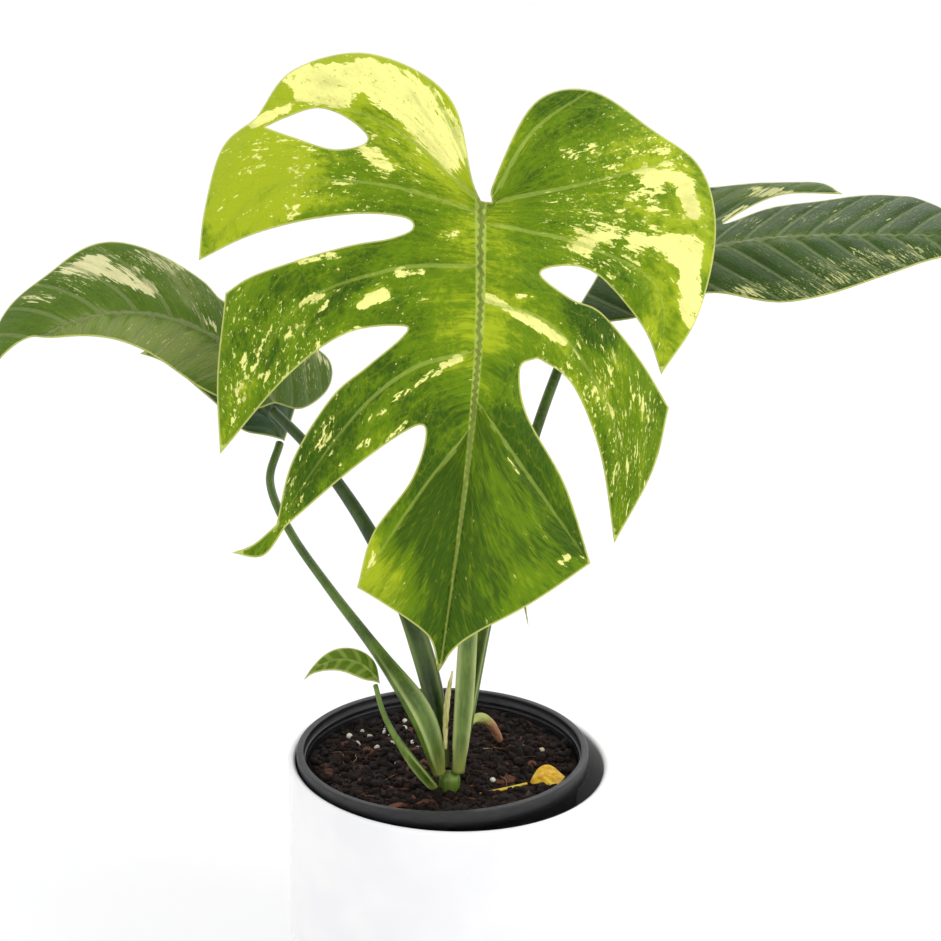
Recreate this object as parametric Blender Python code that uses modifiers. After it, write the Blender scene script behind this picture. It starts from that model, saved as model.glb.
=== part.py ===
"""A potted monstera: a plant in a black nursery pot that stands inside a white glazed cover pot.

Lengths below are in millimetres and are turned into metres where the meshes are made.
The origin is at the centre of the cover pot's flat base, +Z is up and the plant's front faces -Y.
"""

import math

import bmesh
import bpy
from mathutils import Matrix, Vector
from mathutils.geometry import delaunay_2d_cdt

MM = 0.001
GAP = 0.4  # clearance between two pieces that touch

# Cover pot
COVER_HEIGHT = 150.0
COVER_TAPER = math.radians(1.7)
COVER_WALL = 4.0
COVER_ROOM = 4.3  # from the nursery pot's rim to the cover pot's wall, if both stood on one axis
COVER_FLOOR = 6.0
COVER_FOOT_ROUND = 3.0

# Nursery pot, which leans and stands off centre inside the cover pot
NURSERY_HEIGHT = 148.0
NURSERY_BASE_RADIUS = 54.0
NURSERY_RIM_RADIUS = 73.7
NURSERY_COLLAR_HEIGHT = 8.0
NURSERY_COLLAR_STEP = 3.2
NURSERY_WALL = 1.6
NURSERY_LEAN = math.radians(-1.8)
NURSERY_OFFSET = (0.85, -1.0)
COVER_RISE = max(0.0, COVER_HEIGHT - COVER_FLOOR - NURSERY_HEIGHT)  # above the nursery pot's rim
COVER_RADIUS = (NURSERY_RIM_RADIUS + COVER_ROOM + COVER_WALL  # outside, just below the rim
                + COVER_RISE * math.tan(COVER_TAPER))
DRAIN_HOLES = 6
DRAIN_HOLE_RADIUS = 5.0
DRAIN_RING_RADIUS = 34.0

# Potting soil
SOIL_DROP = 10.0  # from the nursery rim down to the soil
SOIL_BUMP = 1.3

# Stem
STEM_AT = (0.5, -30.0)
STEM_RADIUS = 5.0
STEM_ABOVE = 9.0
STEM_BELOW = 26.0
STALK_FOOT_RADIUS = 3.2

# Leaves
BLADE_THICKNESS = 1.2

SIDES_OF_POT = 48


# ---------------------------------------------------------------- helpers

def clear_scene():
    for obj in list(bpy.data.objects):
        bpy.data.objects.remove(obj, do_unlink=True)


def collection(name):
    made = bpy.data.collections.new(name)
    bpy.context.scene.collection.children.link(made)
    return made


def finish_material(name, colour, roughness):
    """A plain Principled BSDF finish."""
    material = bpy.data.materials.new(name)
    material.use_nodes = True
    shader = material.node_tree.nodes["Principled BSDF"]
    shader.inputs["Base Color"].default_value = (*colour, 1.0)
    shader.inputs["Roughness"].default_value = roughness
    shader.inputs["Metallic"].default_value = 0.0
    return material


def add_piece(name, mesh, material):
    piece = bpy.data.objects.new(name, mesh)
    piece.data.materials.append(material)
    PLANT.objects.link(piece)
    return piece


def mesh_from(name, points, edges=(), faces=()):
    """A mesh from points in millimetres."""
    mesh = bpy.data.meshes.new(name)
    mesh.from_pydata([tuple(c * MM for c in point) for point in points], list(edges), list(faces))
    mesh.update()
    return mesh


def shade_smooth(mesh):
    for polygon in mesh.polygons:
        polygon.use_smooth = True


def smooth_line(points, steps):
    """Points along a smooth line through the given points (Catmull-Rom), of any dimension."""
    line = [Vector(point) for point in points]
    ends = [2 * line[0] - line[1], *line, 2 * line[-1] - line[-2]]
    made = []
    for a, b, c, d in zip(ends, ends[1:], ends[2:], ends[3:]):
        for step in range(steps):
            t = step / steps
            made.append(0.5 * (2 * b + (c - a) * t + (2 * a - 5 * b + 4 * c - d) * t * t
                               + (3 * b - a - 3 * c + d) * t ** 3))
    made.append(line[-1])
    return made


def bezier(start, leave, arrive, end, count):
    """Points along a Bezier curve: it leaves its start towards one handle and arrives from the other."""
    a, b, c, d = (Vector(point) for point in (start, leave, arrive, end))
    made = []
    for number in range(count):
        t = number / (count - 1)
        made.append(tuple(a * (1 - t) ** 3 + b * 3 * t * (1 - t) ** 2 + c * 3 * t * t * (1 - t)
                          + d * t ** 3))
    return made


def arched(start, length, heading, first_slope, last_slope, steps=8):
    """A midrib whose slope changes evenly. Angles in degrees: heading turns from +X to +Y."""
    point = Vector(start)
    line = [point.copy()]
    turn = math.radians(heading)
    for number in range(steps):
        slope = math.radians(first_slope + (last_slope - first_slope) * (number + 0.5) / steps)
        way = Vector((math.cos(turn) * math.cos(slope), math.sin(turn) * math.cos(slope), math.sin(slope)))
        point += way * length / steps
        line.append(point.copy())
    return line


def spaced(line, spacing):
    """The same line with points at an even spacing, its two ends kept."""
    lengths = [0.0]
    for a, b in zip(line, line[1:]):
        lengths.append(lengths[-1] + (b - a).length)
    count = max(1, round(lengths[-1] / spacing))
    made = []
    at = 0
    for step in range(count + 1):
        want = lengths[-1] * step / count
        while at < len(line) - 2 and lengths[at + 1] < want:
            at += 1
        part = (want - lengths[at]) / max(lengths[at + 1] - lengths[at], 1e-9)
        made.append(line[at].lerp(line[at + 1], min(part, 1.0)))
    return made


def arc(centre_r, centre_z, radius, start, end, steps):
    """Points (r, z) of a circular arc, with angles in degrees."""
    made = []
    for step in range(steps + 1):
        angle = math.radians(start + (end - start) * step / steps)
        made.append((centre_r + radius * math.cos(angle), centre_z + radius * math.sin(angle)))
    return made


def turned(name, profile, material, sides=SIDES_OF_POT):
    """A turned piece: the profile (r, z) runs from the axis up the inside and down the outside."""
    points = [(r, 0.0, z) for r, z in profile]
    edges = [(i, i + 1) for i in range(len(points) - 1)]
    piece = add_piece(name, mesh_from(name, points, edges), material)
    screw = piece.modifiers.new("turn", "SCREW")
    screw.axis = "Z"
    screw.angle = 2 * math.pi
    screw.steps = sides
    screw.render_steps = sides
    screw.use_merge_vertices = True
    screw.merge_threshold = 0.00001
    screw.use_smooth_shade = True
    return piece


def tube(name, points, radii, material, steps=3, roundness=2):
    """A stalk or root: a smooth line of varying radius with closed ends."""
    line = smooth_line([(*point, radius) for point, radius in zip(points, radii)], steps)
    data = bpy.data.curves.new(name, "CURVE")
    data.dimensions = "3D"
    data.bevel_depth = MM
    data.bevel_resolution = roundness
    data.use_fill_caps = True
    spline = data.splines.new("POLY")
    spline.points.add(len(line) - 1)
    for spot, point in zip(spline.points, line):
        spot.co = (point[0] * MM, point[1] * MM, point[2] * MM, 1.0)
        spot.radius = point[3]
    piece = bpy.data.objects.new(name, data)
    data.materials.append(material)
    PLANT.objects.link(piece)
    return piece


# ---------------------------------------------------------------- leaf blades

class Rib:
    """The midrib's line in space, and the blade's sideways and upward directions along it."""

    def __init__(self, points, side, fold=0.0, droop=0.0, back=0.0):
        self.line = smooth_line([Vector(p) for p in points], 24)
        self.at = [0.0]
        for a, b in zip(self.line, self.line[1:]):
            self.at.append(self.at[-1] + (b - a).length)
        self.length = self.at[-1]
        self.side = Vector(side)
        self.fold = math.radians(fold)
        self.droop = droop
        self.back = back

    def spot(self, along):
        along = min(max(along, 0.0), self.length)
        low = 0
        high = len(self.at) - 1
        while high - low > 1:
            middle = (low + high) // 2
            if self.at[middle] <= along:
                low = middle
            else:
                high = middle
        part = (along - self.at[low]) / (self.at[high] - self.at[low])
        return self.line[low].lerp(self.line[high], part)

    def frame(self, along):
        """Position, forward direction, side direction and upper-face normal at a distance along."""
        inside = min(max(along, 0.0), self.length)
        forward = (self.spot(inside + 3.0) - self.spot(inside - 3.0)).normalized()
        side = (self.side - self.side.dot(forward) * forward).normalized()
        return self.spot(inside) + forward * (along - inside), forward, side, forward.cross(side)

    def surface(self, across, along):
        """The point of the blade at (across, along), bent about the midrib."""
        position, forward, side, up = self.frame(along)
        width = abs(across)
        height = width * math.sin(self.fold) - self.droop * width * width / 1000.0
        if along < 0.0:
            height -= self.back * along * along / 1000.0
        return position + side * (across * math.cos(self.fold)) + up * height


def inside_loop(point, loop):
    x, y = point
    odd = False
    for a, b in zip(loop, loop[1:] + loop[:1]):
        if (a[1] > y) != (b[1] > y) and x < a[0] + (y - a[1]) * (b[0] - a[0]) / (b[1] - a[1]):
            odd = not odd
    return odd


def distance_to_loop(point, loop):
    spot = Vector(point)
    best = 1e9
    for a, b in zip(loop, loop[1:] + loop[:1]):
        step = b - a
        part = min(max((spot - a).dot(step) / max(step.length_squared, 1e-12), 0.0), 1.0)
        best = min(best, (a + step * part - spot).length)
    return best


def outline_loop(runs, spacing):
    """One closed outline from smooth runs that meet at corners."""
    loop = []
    for run in runs:
        loop += spaced(smooth_line(run, 8), spacing)[:-1]
    return loop


def oval(length, left, right, widest):
    """Outline of an undivided blade: each edge swells evenly to its widest share of the length."""
    power = math.log(0.5) / math.log(widest)
    steps = 6
    edges = []
    for width in (-left, right):
        edges.append([(width * math.sin(math.pi * (step / steps) ** power), length * step / steps)
                      for step in range(steps + 1)])
    return [edges[0], edges[1][::-1]]


def blade(name, rib, runs, material, holes=(), spacing=9.0, thickness=BLADE_THICKNESS):
    """A leaf blade: its outline filled with triangles, bent along the rib and given a thickness."""
    loop = outline_loop(runs, spacing)
    hole_loops = [outline_loop([hole + hole[:1]], spacing * 0.8) for hole in holes]
    points = list(loop)
    edges = [(i, (i + 1) % len(loop)) for i in range(len(loop))]
    for hole in hole_loops:
        start = len(points)
        points += hole
        edges += [(start + i, start + (i + 1) % len(hole)) for i in range(len(hole))]
    low_u = min(p[0] for p in loop)
    high_u = max(p[0] for p in loop)
    low_v = min(p[1] for p in loop)
    high_v = max(p[1] for p in loop)
    row = 0
    v = low_v
    while v < high_v:
        u = low_u + (spacing / 2 if row % 2 else 0.0)
        while u < high_u:
            if inside_loop((u, v), loop) and distance_to_loop((u, v), loop) > spacing * 0.55:
                if all(not inside_loop((u, v), hole) and distance_to_loop((u, v), hole) > spacing * 0.5
                       for hole in hole_loops):
                    points.append(Vector((u, v)))
            u += spacing
        v += spacing * 0.87
        row += 1
    flat, _, triangles, _, _, _ = delaunay_2d_cdt(points, edges, [], 1, 1e-5)
    kept = []
    for triangle in triangles:
        centre = sum((flat[i] for i in triangle), Vector((0.0, 0.0))) / 3
        if inside_loop(centre, loop) and not any(inside_loop(centre, hole) for hole in hole_loops):
            kept.append(tuple(triangle))
    mesh = mesh_from(name, [rib.surface(p[0], p[1]) for p in flat], faces=kept)
    loose = bmesh.new()
    loose.from_mesh(mesh)
    bmesh.ops.delete(loose, geom=[v for v in loose.verts if not v.link_faces], context="VERTS")
    bmesh.ops.recalc_face_normals(loose, faces=loose.faces)
    loose.to_mesh(mesh)
    loose.free()
    shade_smooth(mesh)
    piece = add_piece(name, mesh, material)
    thick = piece.modifiers.new("thickness", "SOLIDIFY")
    thick.thickness = thickness * MM
    thick.offset = 0.0
    return piece


def under_blade(rib, stalk_radius, along=0.0):
    """The point under the blade's base where the end of a stalk of this radius clears it."""
    position, forward, side, up = rib.frame(along)
    return position - up * (stalk_radius + BLADE_THICKNESS / 2 + GAP)


# ---------------------------------------------------------------- pots and soil

def pot_frame():
    """Where the nursery pot stands: its low edge just clears the cover pot's floor."""
    lift = COVER_FLOOR + GAP + NURSERY_BASE_RADIUS * math.sin(abs(NURSERY_LEAN))
    place = Matrix.Translation(Vector((*NURSERY_OFFSET, lift)) * MM)
    return place @ Matrix.Rotation(NURSERY_LEAN, 4, "Y")


def make_cover_pot(material):
    slope = math.tan(COVER_TAPER)
    lip = COVER_WALL / 2
    outer_base = COVER_RADIUS - (COVER_HEIGHT - lip) * slope
    inner_top = COVER_RADIUS - COVER_WALL
    inner_floor = inner_top - (COVER_HEIGHT - lip - COVER_FLOOR) * slope
    profile = [(0.0, COVER_FLOOR), (inner_floor * 0.6, COVER_FLOOR)]
    profile += arc(inner_floor - 4.0, COVER_FLOOR + 4.0, 4.0, -90, 0, 3)
    profile += arc(COVER_RADIUS - lip, COVER_HEIGHT - lip, lip, 180, 0, 8)
    profile += arc(outer_base - COVER_FOOT_ROUND, COVER_FOOT_ROUND, COVER_FOOT_ROUND, 0, -90, 4)
    profile += [(outer_base * 0.5, 0.0), (0.0, 0.0)]
    return turned("cover_pot", profile, material)


def shoulder_radius():
    return NURSERY_RIM_RADIUS - NURSERY_COLLAR_STEP


def nursery_inner_radius(z):
    """The inside of the nursery pot's wall at a height in the pot."""
    shoulder = NURSERY_HEIGHT - NURSERY_COLLAR_HEIGHT
    part = z / shoulder
    outside = NURSERY_BASE_RADIUS + (shoulder_radius() - NURSERY_BASE_RADIUS) * part
    return outside - NURSERY_WALL


def make_nursery_pot(material):
    shoulder = NURSERY_HEIGHT - NURSERY_COLLAR_HEIGHT
    inner = nursery_inner_radius(shoulder)
    round_edge = 0.7
    top = NURSERY_HEIGHT
    profile = [(0.0, NURSERY_WALL), (nursery_inner_radius(NURSERY_WALL) - 1.0, NURSERY_WALL)]
    profile += [(nursery_inner_radius(NURSERY_WALL + 1.0), NURSERY_WALL + 1.0)]
    profile += [(inner, shoulder), (inner + 0.6, shoulder + 0.5), (inner + 0.6, shoulder + 2.6)]
    profile += [(inner + 1.1, shoulder + 3.1), (inner + 1.1, top - round_edge)]
    profile += [(inner + 1.1 + round_edge, top)]
    profile += arc(NURSERY_RIM_RADIUS - round_edge, top - round_edge, round_edge, 90, 0, 3)
    profile += [(NURSERY_RIM_RADIUS, shoulder), (shoulder_radius(), shoulder)]
    profile += [(NURSERY_BASE_RADIUS, 1.0), (NURSERY_BASE_RADIUS - 1.0, 0.0), (0.0, 0.0)]
    piece = turned("nursery_pot", profile, material)
    piece.matrix_world = pot_frame()
    # Drain holes go straight through the floor.
    cutter_mesh = bpy.data.meshes.new("drain_cutter")
    pegs = bmesh.new()
    for hole in range(DRAIN_HOLES):
        angle = 2 * math.pi * (hole + 0.5) / DRAIN_HOLES
        spot = Vector((DRAIN_RING_RADIUS * math.cos(angle), DRAIN_RING_RADIUS * math.sin(angle), 0.8))
        bmesh.ops.create_cone(pegs, cap_ends=True, segments=16, radius1=DRAIN_HOLE_RADIUS * MM,
                              radius2=DRAIN_HOLE_RADIUS * MM, depth=6.0 * MM,
                              matrix=Matrix.Translation(spot * MM))
    pegs.to_mesh(cutter_mesh)
    pegs.free()
    cutter = bpy.data.objects.new("drain_cutter", cutter_mesh)
    cutter.matrix_world = pot_frame()
    cutter.hide_render = True
    cutter.display_type = "WIRE"
    CUTTERS.objects.link(cutter)
    holes = piece.modifiers.new("drain_holes", "BOOLEAN")
    holes.operation = "DIFFERENCE"
    holes.object = cutter
    holes.solver = "EXACT"
    return piece


def soil_bump(x, y):
    return SOIL_BUMP * (0.6 * math.sin(x / 10.0 + 0.8) * math.cos(y / 12.0 + 0.4)
                        + 0.4 * math.sin(x / 17.0 - y / 9.0))


def soil_top():
    return NURSERY_HEIGHT - SOIL_DROP


def soil_height(x, y):
    """The soil's surface height at a place in the plant's own frame."""
    place = pot_frame()
    local = place.inverted() @ (Vector((x, y, COVER_FLOOR + soil_top())) * MM) / MM
    local.z = soil_top() + soil_bump(local.x, local.y)
    return (place @ (local * MM) / MM).z


def soil_radius():
    return nursery_inner_radius(soil_top()) - GAP


def on_soil(across, back):
    """The place (x, y) at these shares of the soil's radius, from the middle of the soil."""
    middle = pot_frame() @ (Vector((0.0, 0.0, soil_top())) * MM) / MM
    return middle.x + across * soil_radius(), middle.y + back * soil_radius()


def make_soil(material):
    rings = 13
    around = 40
    top = soil_top()
    radius = soil_radius()
    points = [(0.0, 0.0, top + soil_bump(0.0, 0.0))]
    for ring in range(1, rings + 1):
        r = radius * ring / rings
        for side in range(around):
            angle = 2 * math.pi * side / around
            x = r * math.cos(angle)
            y = r * math.sin(angle)
            points.append((x, y, top + soil_bump(x, y)))
    foot = NURSERY_WALL + GAP
    foot_radius = nursery_inner_radius(foot) - GAP - 1.0
    for side in range(around):
        angle = 2 * math.pi * side / around
        points.append((foot_radius * math.cos(angle), foot_radius * math.sin(angle), foot))
    faces = [(0, 1 + side, 1 + (side + 1) % around) for side in range(around)]
    for ring in range(rings):
        start = 1 + ring * around
        for side in range(around):
            after = (side + 1) % around
            faces.append((start + side, start + around + side,
                          start + around + after, start + after))
    faces.append(tuple(reversed(range(1 + rings * around, 1 + (rings + 1) * around))))
    piece = add_piece("potting_soil", mesh_from("potting_soil", points, faces=faces), material)
    piece.matrix_world = pot_frame()
    return piece


def socket(name, soil, points, radii, steps=3, roundness=2):
    """Cuts the soil away round a root or stem, with clearance at its sides and under its lower end."""
    lowest = min(points, key=lambda point: point[2])
    deeper = [(x, y, z - GAP) if (x, y, z) == lowest else (x, y, z) for x, y, z in points]
    guide = tube(name, deeper, [r + GAP for r in radii], SOIL_FINISH, steps, roundness)
    bpy.context.view_layer.update()
    graph = bpy.context.evaluated_depsgraph_get()
    mesh = bpy.data.meshes.new_from_object(guide.evaluated_get(graph))
    welded = bmesh.new()
    welded.from_mesh(mesh)
    bmesh.ops.remove_doubles(welded, verts=welded.verts, dist=0.00001)
    bmesh.ops.recalc_face_normals(welded, faces=welded.faces)
    welded.to_mesh(mesh)
    welded.free()
    bpy.data.objects.remove(guide, do_unlink=True)
    cutter = bpy.data.objects.new(name, mesh)
    cutter.hide_render = True
    cutter.display_type = "WIRE"
    CUTTERS.objects.link(cutter)
    cut = soil.modifiers.new(name, "BOOLEAN")
    cut.operation = "DIFFERENCE"
    cut.object = cutter
    cut.solver = "EXACT"


# ---------------------------------------------------------------- build

clear_scene()
PLANT = collection("potted_monstera")
CUTTERS = collection("cutters")

WHITE_GLAZE = finish_material("white_glaze", (0.86, 0.86, 0.87), 0.22)
BLACK_PLASTIC = finish_material("black_plastic", (0.012, 0.012, 0.013), 0.5)
SOIL_FINISH = finish_material("potting_mix", (0.018, 0.011, 0.008), 0.95)
LEAF_GREEN = finish_material("leaf_green", (0.06, 0.19, 0.03), 0.35)
DARK_LEAF = finish_material("dark_leaf", (0.02, 0.09, 0.03), 0.35)
STALK_GREEN = finish_material("stalk_green", (0.13, 0.26, 0.04), 0.4)
CREAM_SHEATH = finish_material("cream_sheath", (0.6, 0.58, 0.36), 0.6)
ROOT_BROWN = finish_material("root_brown", (0.42, 0.22, 0.12), 0.7)
YELLOW_LEAF = finish_material("yellow_leaf", (0.62, 0.42, 0.03), 0.5)
GRANULE_WHITE = finish_material("granule_white", (0.75, 0.72, 0.62), 0.7)
BARK_BROWN = finish_material("bark_brown", (0.10, 0.045, 0.025), 0.9)

make_cover_pot(WHITE_GLAZE)
make_nursery_pot(BLACK_PLASTIC)
soil = make_soil(SOIL_FINISH)

# The stem: a short upright stump, its foot in the soil. The leaf stalks stand on and round its top.
stem_x, stem_y = STEM_AT
ground = soil_height(stem_x, stem_y)


def above_soil(points):
    """Points of the plant, whose heights are given above the soil at the stem."""
    return [(x, y, z + ground) for x, y, z in points]


def foot(right, back):
    """A stalk's foot on the stem's top. The feet stand side by side, in steps of half a foot's width."""
    step = STALK_FOOT_RADIUS + GAP / 2
    return (stem_x + right * step, stem_y + back * step, STEM_ABOVE + 1.5)


stem_points = [(stem_x, stem_y, ground - STEM_BELOW), (stem_x, stem_y, ground - 8.0),
               (stem_x, stem_y, ground), (stem_x, stem_y, ground + STEM_ABOVE - 2.0),
               (stem_x, stem_y, ground + STEM_ABOVE)]
stem_radii = [STEM_RADIUS * 0.6, STEM_RADIUS * 0.9, STEM_RADIUS, STEM_RADIUS * 1.05, STEM_RADIUS * 0.8]
tube("stem", stem_points, stem_radii, STALK_GREEN, steps=2, roundness=6)
socket("stem_socket", soil, stem_points, stem_radii, steps=2, roundness=6)

# Each midrib below is an arch: where it starts above the soil, its length, its heading and its slopes.
# Each outline is a few corners and turning points, (across, along) the midrib, joined smoothly.
# Each stalk is a Bezier curve from its foot to its blade, with a handle at either end.
def rib_of(start, length, heading, first_slope, last_slope, side, **bend):
    (base,) = above_soil([start])
    return Rib(arched(base, length, heading, first_slope, last_slope), side, **bend)


def stalk(name, start, leave, arrive, end, radii):
    """A stalk. leave and arrive are its handles, measured from its start and its end."""
    (base,) = above_soil([start])
    first = Vector(base) + Vector(leave)
    last = Vector(end) + Vector(arrive)
    return tube(name, bezier(base, first, last, end, len(radii)), radii, STALK_GREEN)


# Front leaf: the large blade that faces forward. Its halves are split between the side veins.
front_rib = rib_of((5, -10, 285), 215, 260, -70, -75, (1.0, 0.0, 0.04), fold=-3.0, droop=1.0, back=2.5)
FRONT_OUTLINE = [
    # notch beside the stalk, over the upper left lobe to the narrow bridge beside the hole
    [(0, 0), (-5, -10), (-20, -50), (-60, -70), (-95, -60), (-110, -35)],
    # first left lobe's outer edge, then the first split, in and out
    [(-110, -35), (-125, -20), (-130, 10), (-130, 35)],
    [(-130, 35), (-100, 20), (-60, 10), (-35, 10), (-30, 15), (-40, 20), (-60, 25), (-100, 40), (-115, 50)],
    # second left lobe and split
    [(-115, 50), (-115, 90), (-110, 125)],
    [(-110, 125), (-80, 85), (-55, 65), (-30, 60), (-30, 65), (-45, 80), (-60, 95), (-75, 125), (-80, 155)],
    # drip tip of the third lobe, and the third split
    [(-80, 155), (-90, 165), (-100, 170)],
    [(-100, 170), (-85, 170), (-75, 155)],
    [(-75, 155), (-45, 125), (-20, 105), (-15, 110), (-20, 130), (-35, 155), (-40, 180)],
    # lower edge of the tip lobe
    [(-40, 180), (-20, 190), (-5, 200), (0, 215)],
    [(0, 215), (10, 200), (40, 180), (65, 160)],
    # second right split and the narrow right lobe
    [(65, 160), (50, 125), (30, 95), (25, 75), (30, 70), (35, 70), (50, 80), (65, 110), (75, 150)],
    [(75, 150), (90, 115), (95, 85)],
    # first right split, then round the upper right lobe to the notch
    [(95, 85), (80, 65), (60, 45), (45, 40), (30, 30), (45, 25), (60, 30), (80, 50), (90, 70)],
    [(90, 70), (105, 40), (110, 0), (100, -30), (75, -45), (45, -60), (20, -50), (5, -10), (5, 0)],
    [(5, 0), (0, 0)],
]
FRONT_HOLE = [(-105, -30), (-95, -35), (-80, -40), (-65, -35), (-55, -25), (-70, -20), (-90, -25)]
blade("front_leaf", front_rib, FRONT_OUTLINE, LEAF_GREEN, holes=[FRONT_HOLE], spacing=9.0)
stalk("front_leaf_stalk", foot(1.2, -0.2), (5, 10, 90), (0, 5, -75), under_blade(front_rib, 2.8),
      [STALK_FOOT_RADIUS, 4.2, 4.0, 3.6, 3.4, 3.2, 3.0, 2.8])

# Left leaf: arches over to the left, its near half turned down.
left_rib = rib_of((-95, 40, 175), 175, 195, 65, -60, (0.0, -0.7, -0.7), fold=-4.0)
LEFT_OUTLINE = [
    [(0, 0), (-20, -15), (-50, -20), (-65, -10), (-50, 15), (-25, 45), (-30, 60), (-45, 95), (-35, 120),
     (-30, 140), (-20, 155), (0, 175)],
    [(0, 175), (-5, 160), (-5, 140), (5, 125), (20, 80), (30, 40), (20, 10), (0, 0)],
]
blade("left_leaf", left_rib, LEFT_OUTLINE, LEAF_GREEN, spacing=10.0)
stalk("left_leaf_stalk", foot(-1.0, 1.5), (-5, 5, 70), (45, -25, -30),
      under_blade(left_rib, 2.6, along=-3.0), [STALK_FOOT_RADIUS, 4.8, 5.2, 4.6, 3.8, 3.2, 2.8, 2.6])

# Left rear leaf: small and dark, under the left leaf. Its stalk bows out before it turns back to it.
rear_rib = rib_of((-95, 80, 145), 95, 170, 60, -5, (0.0, -0.8, -0.6), fold=-4.0)
blade("left_rear_leaf", rear_rib, oval(95, 35, 20, 0.25), DARK_LEAF, spacing=9.0)
stalk("left_rear_leaf_stalk", foot(-1.5, -1.0), (-5, -20, 65), (-25, -35, -30), under_blade(rear_rib, 2.2),
      [STALK_FOOT_RADIUS, 5.0, 3.2, 2.4, 2.2, 2.2, 2.2])

# Right leaf: reaches out to the right behind the front leaf. A long split parts its far lobe.
right_rib = rib_of((65, 50, 245), 195, -5, 20, -5, (0.0, 0.9, 0.4), fold=-5.0)
RIGHT_OUTLINE = [
    [(0, 0), (20, -10), (50, -25), (80, -10), (80, 25), (70, 60), (65, 90), (60, 115), (45, 125)],
    [(45, 125), (50, 100), (40, 80), (25, 65), (35, 90), (40, 120), (45, 150), (40, 165), (0, 195)],
    [(0, 195), (-20, 160), (-35, 135), (-50, 90), (-35, 50), (-40, 10), (-30, -15), (0, 0)],
]
blade("right_leaf", right_rib, RIGHT_OUTLINE, LEAF_GREEN, spacing=10.0)
stalk("right_leaf_stalk", foot(1.2, 2.2), (10, 5, 80), (-35, -35, -60), under_blade(right_rib, 2.4),
      [STALK_FOOT_RADIUS, 3.6, 3.2, 3.0, 2.8, 2.6, 2.5, 2.4])

# Small leaf near the pot.
small_rib = rib_of((-35, -30, 55), 45, 190, 70, -60, (0.0, -0.85, -0.5), fold=-5.0)
blade("small_leaf", small_rib, oval(45, 8, 8, 0.35), LEAF_GREEN, spacing=5.0, thickness=1.0)
small_foot_radius = 1.9
beside_stem = max(STEM_RADIUS * 1.05 + small_foot_radius + 1.5, 2.7 * STALK_FOOT_RADIUS)
small_foot = (stem_x - 0.81 * beside_stem, stem_y - 0.59 * beside_stem, 3.5)
stalk("small_leaf_stalk", small_foot, (-10, -5, 15), (5, -10, -20), under_blade(small_rib, 1.2),
      [small_foot_radius, 2.4, 2.2, 1.6, 1.3, 1.2])

# Withered sheaths: one pale strip between the stalks, and one dry tip that hangs to the right.
cream_line = bezier((-2, -36, 25), (-3, -36, 40), (-2, -36, 55), (0, -35, 65), 4)
tube("cream_sheath", above_soil(cream_line), [0.8, 1.3, 1.2, 0.5], CREAM_SHEATH)
dry_line = bezier((25, -10, 115), (25, -20, 110), (35, -30, 100), (35, -35, 90), 4)
tube("dry_sheath_tip", above_soil(dry_line), [0.6, 1.2, 1.1, 0.4], CREAM_SHEATH)

# Aerial root: leaves the stalks' foot to the right and enters the soil.
root_radii = [1.4, 2.2, 2.5, 2.4, 2.2, 1.9, 1.2]
root_points = above_soil(bezier((10, -15, 30), (15, 0, 30), (25, 20, 15), (30, 35, -20), len(root_radii)))
tube("aerial_root", root_points, root_radii, ROOT_BROWN)
socket("root_socket", soil, root_points, root_radii)

# Fallen leaf: lies on the soil with its tip just short of the pot's wall.
FALLEN_LENGTH = 18.0
FALLEN_LIFT = 1.6
FALLEN_BACK = -0.3  # share of the soil's radius behind its middle
_, fallen_y = on_soil(0.0, FALLEN_BACK)
wall_x, _ = on_soil(math.sqrt(1.0 - FALLEN_BACK ** 2), 0.0)
fallen_tip_x = wall_x - 3.5
fallen_line = []
for share, lift in [(1.0, FALLEN_LIFT), (0.64, 3.0), (0.3, 3.6), (0.0, 3.4)]:
    x = fallen_tip_x - FALLEN_LENGTH * share
    y = fallen_y - 2.0 * share
    fallen_line.append((x, y, soil_height(x, y) + lift))
fallen_rib = Rib(fallen_line, (0.2, -0.95, -0.2), fold=-8.0)
blade("fallen_leaf", fallen_rib, oval(FALLEN_LENGTH, 9, 9, 0.5), YELLOW_LEAF, spacing=4.0, thickness=0.8)
base_x, base_y, _ = fallen_line[0]
torn_end = Vector((stem_x + 15.0, stem_y - 5.0))
fallen_stalk = []
for share in (0.0, 0.25, 0.5, 0.75, 0.94):
    x, y = torn_end.lerp(Vector((base_x, base_y)), share)
    y -= 2.0 * math.sin(math.pi * share)
    fallen_stalk.append((x, y, soil_height(x, y) + 1.4))
tube("fallen_leaf_stalk", fallen_stalk, [0.5, 0.9, 0.9, 0.8, 0.7], YELLOW_LEAF)

# Fertiliser granules and perlite on the soil. Each has its place, as shares of the soil's radius
# from its middle, and its radius. They are wound outwards like sunflower seeds: twelve in a loose
# cluster left of the stalks, and six more wound widely over the soil.
GOLDEN_ANGLE = math.pi * (3 - math.sqrt(5))


def wound(middle, count, step, first_turn):
    """Places wound outwards from the middle by the golden angle."""
    made = []
    for seed in range(1, count + 1):
        reach = step * math.sqrt(seed)
        turn = first_turn + seed * GOLDEN_ANGLE
        made.append((middle[0] + reach * math.cos(turn), middle[1] + reach * math.sin(turn)))
    return made


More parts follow.
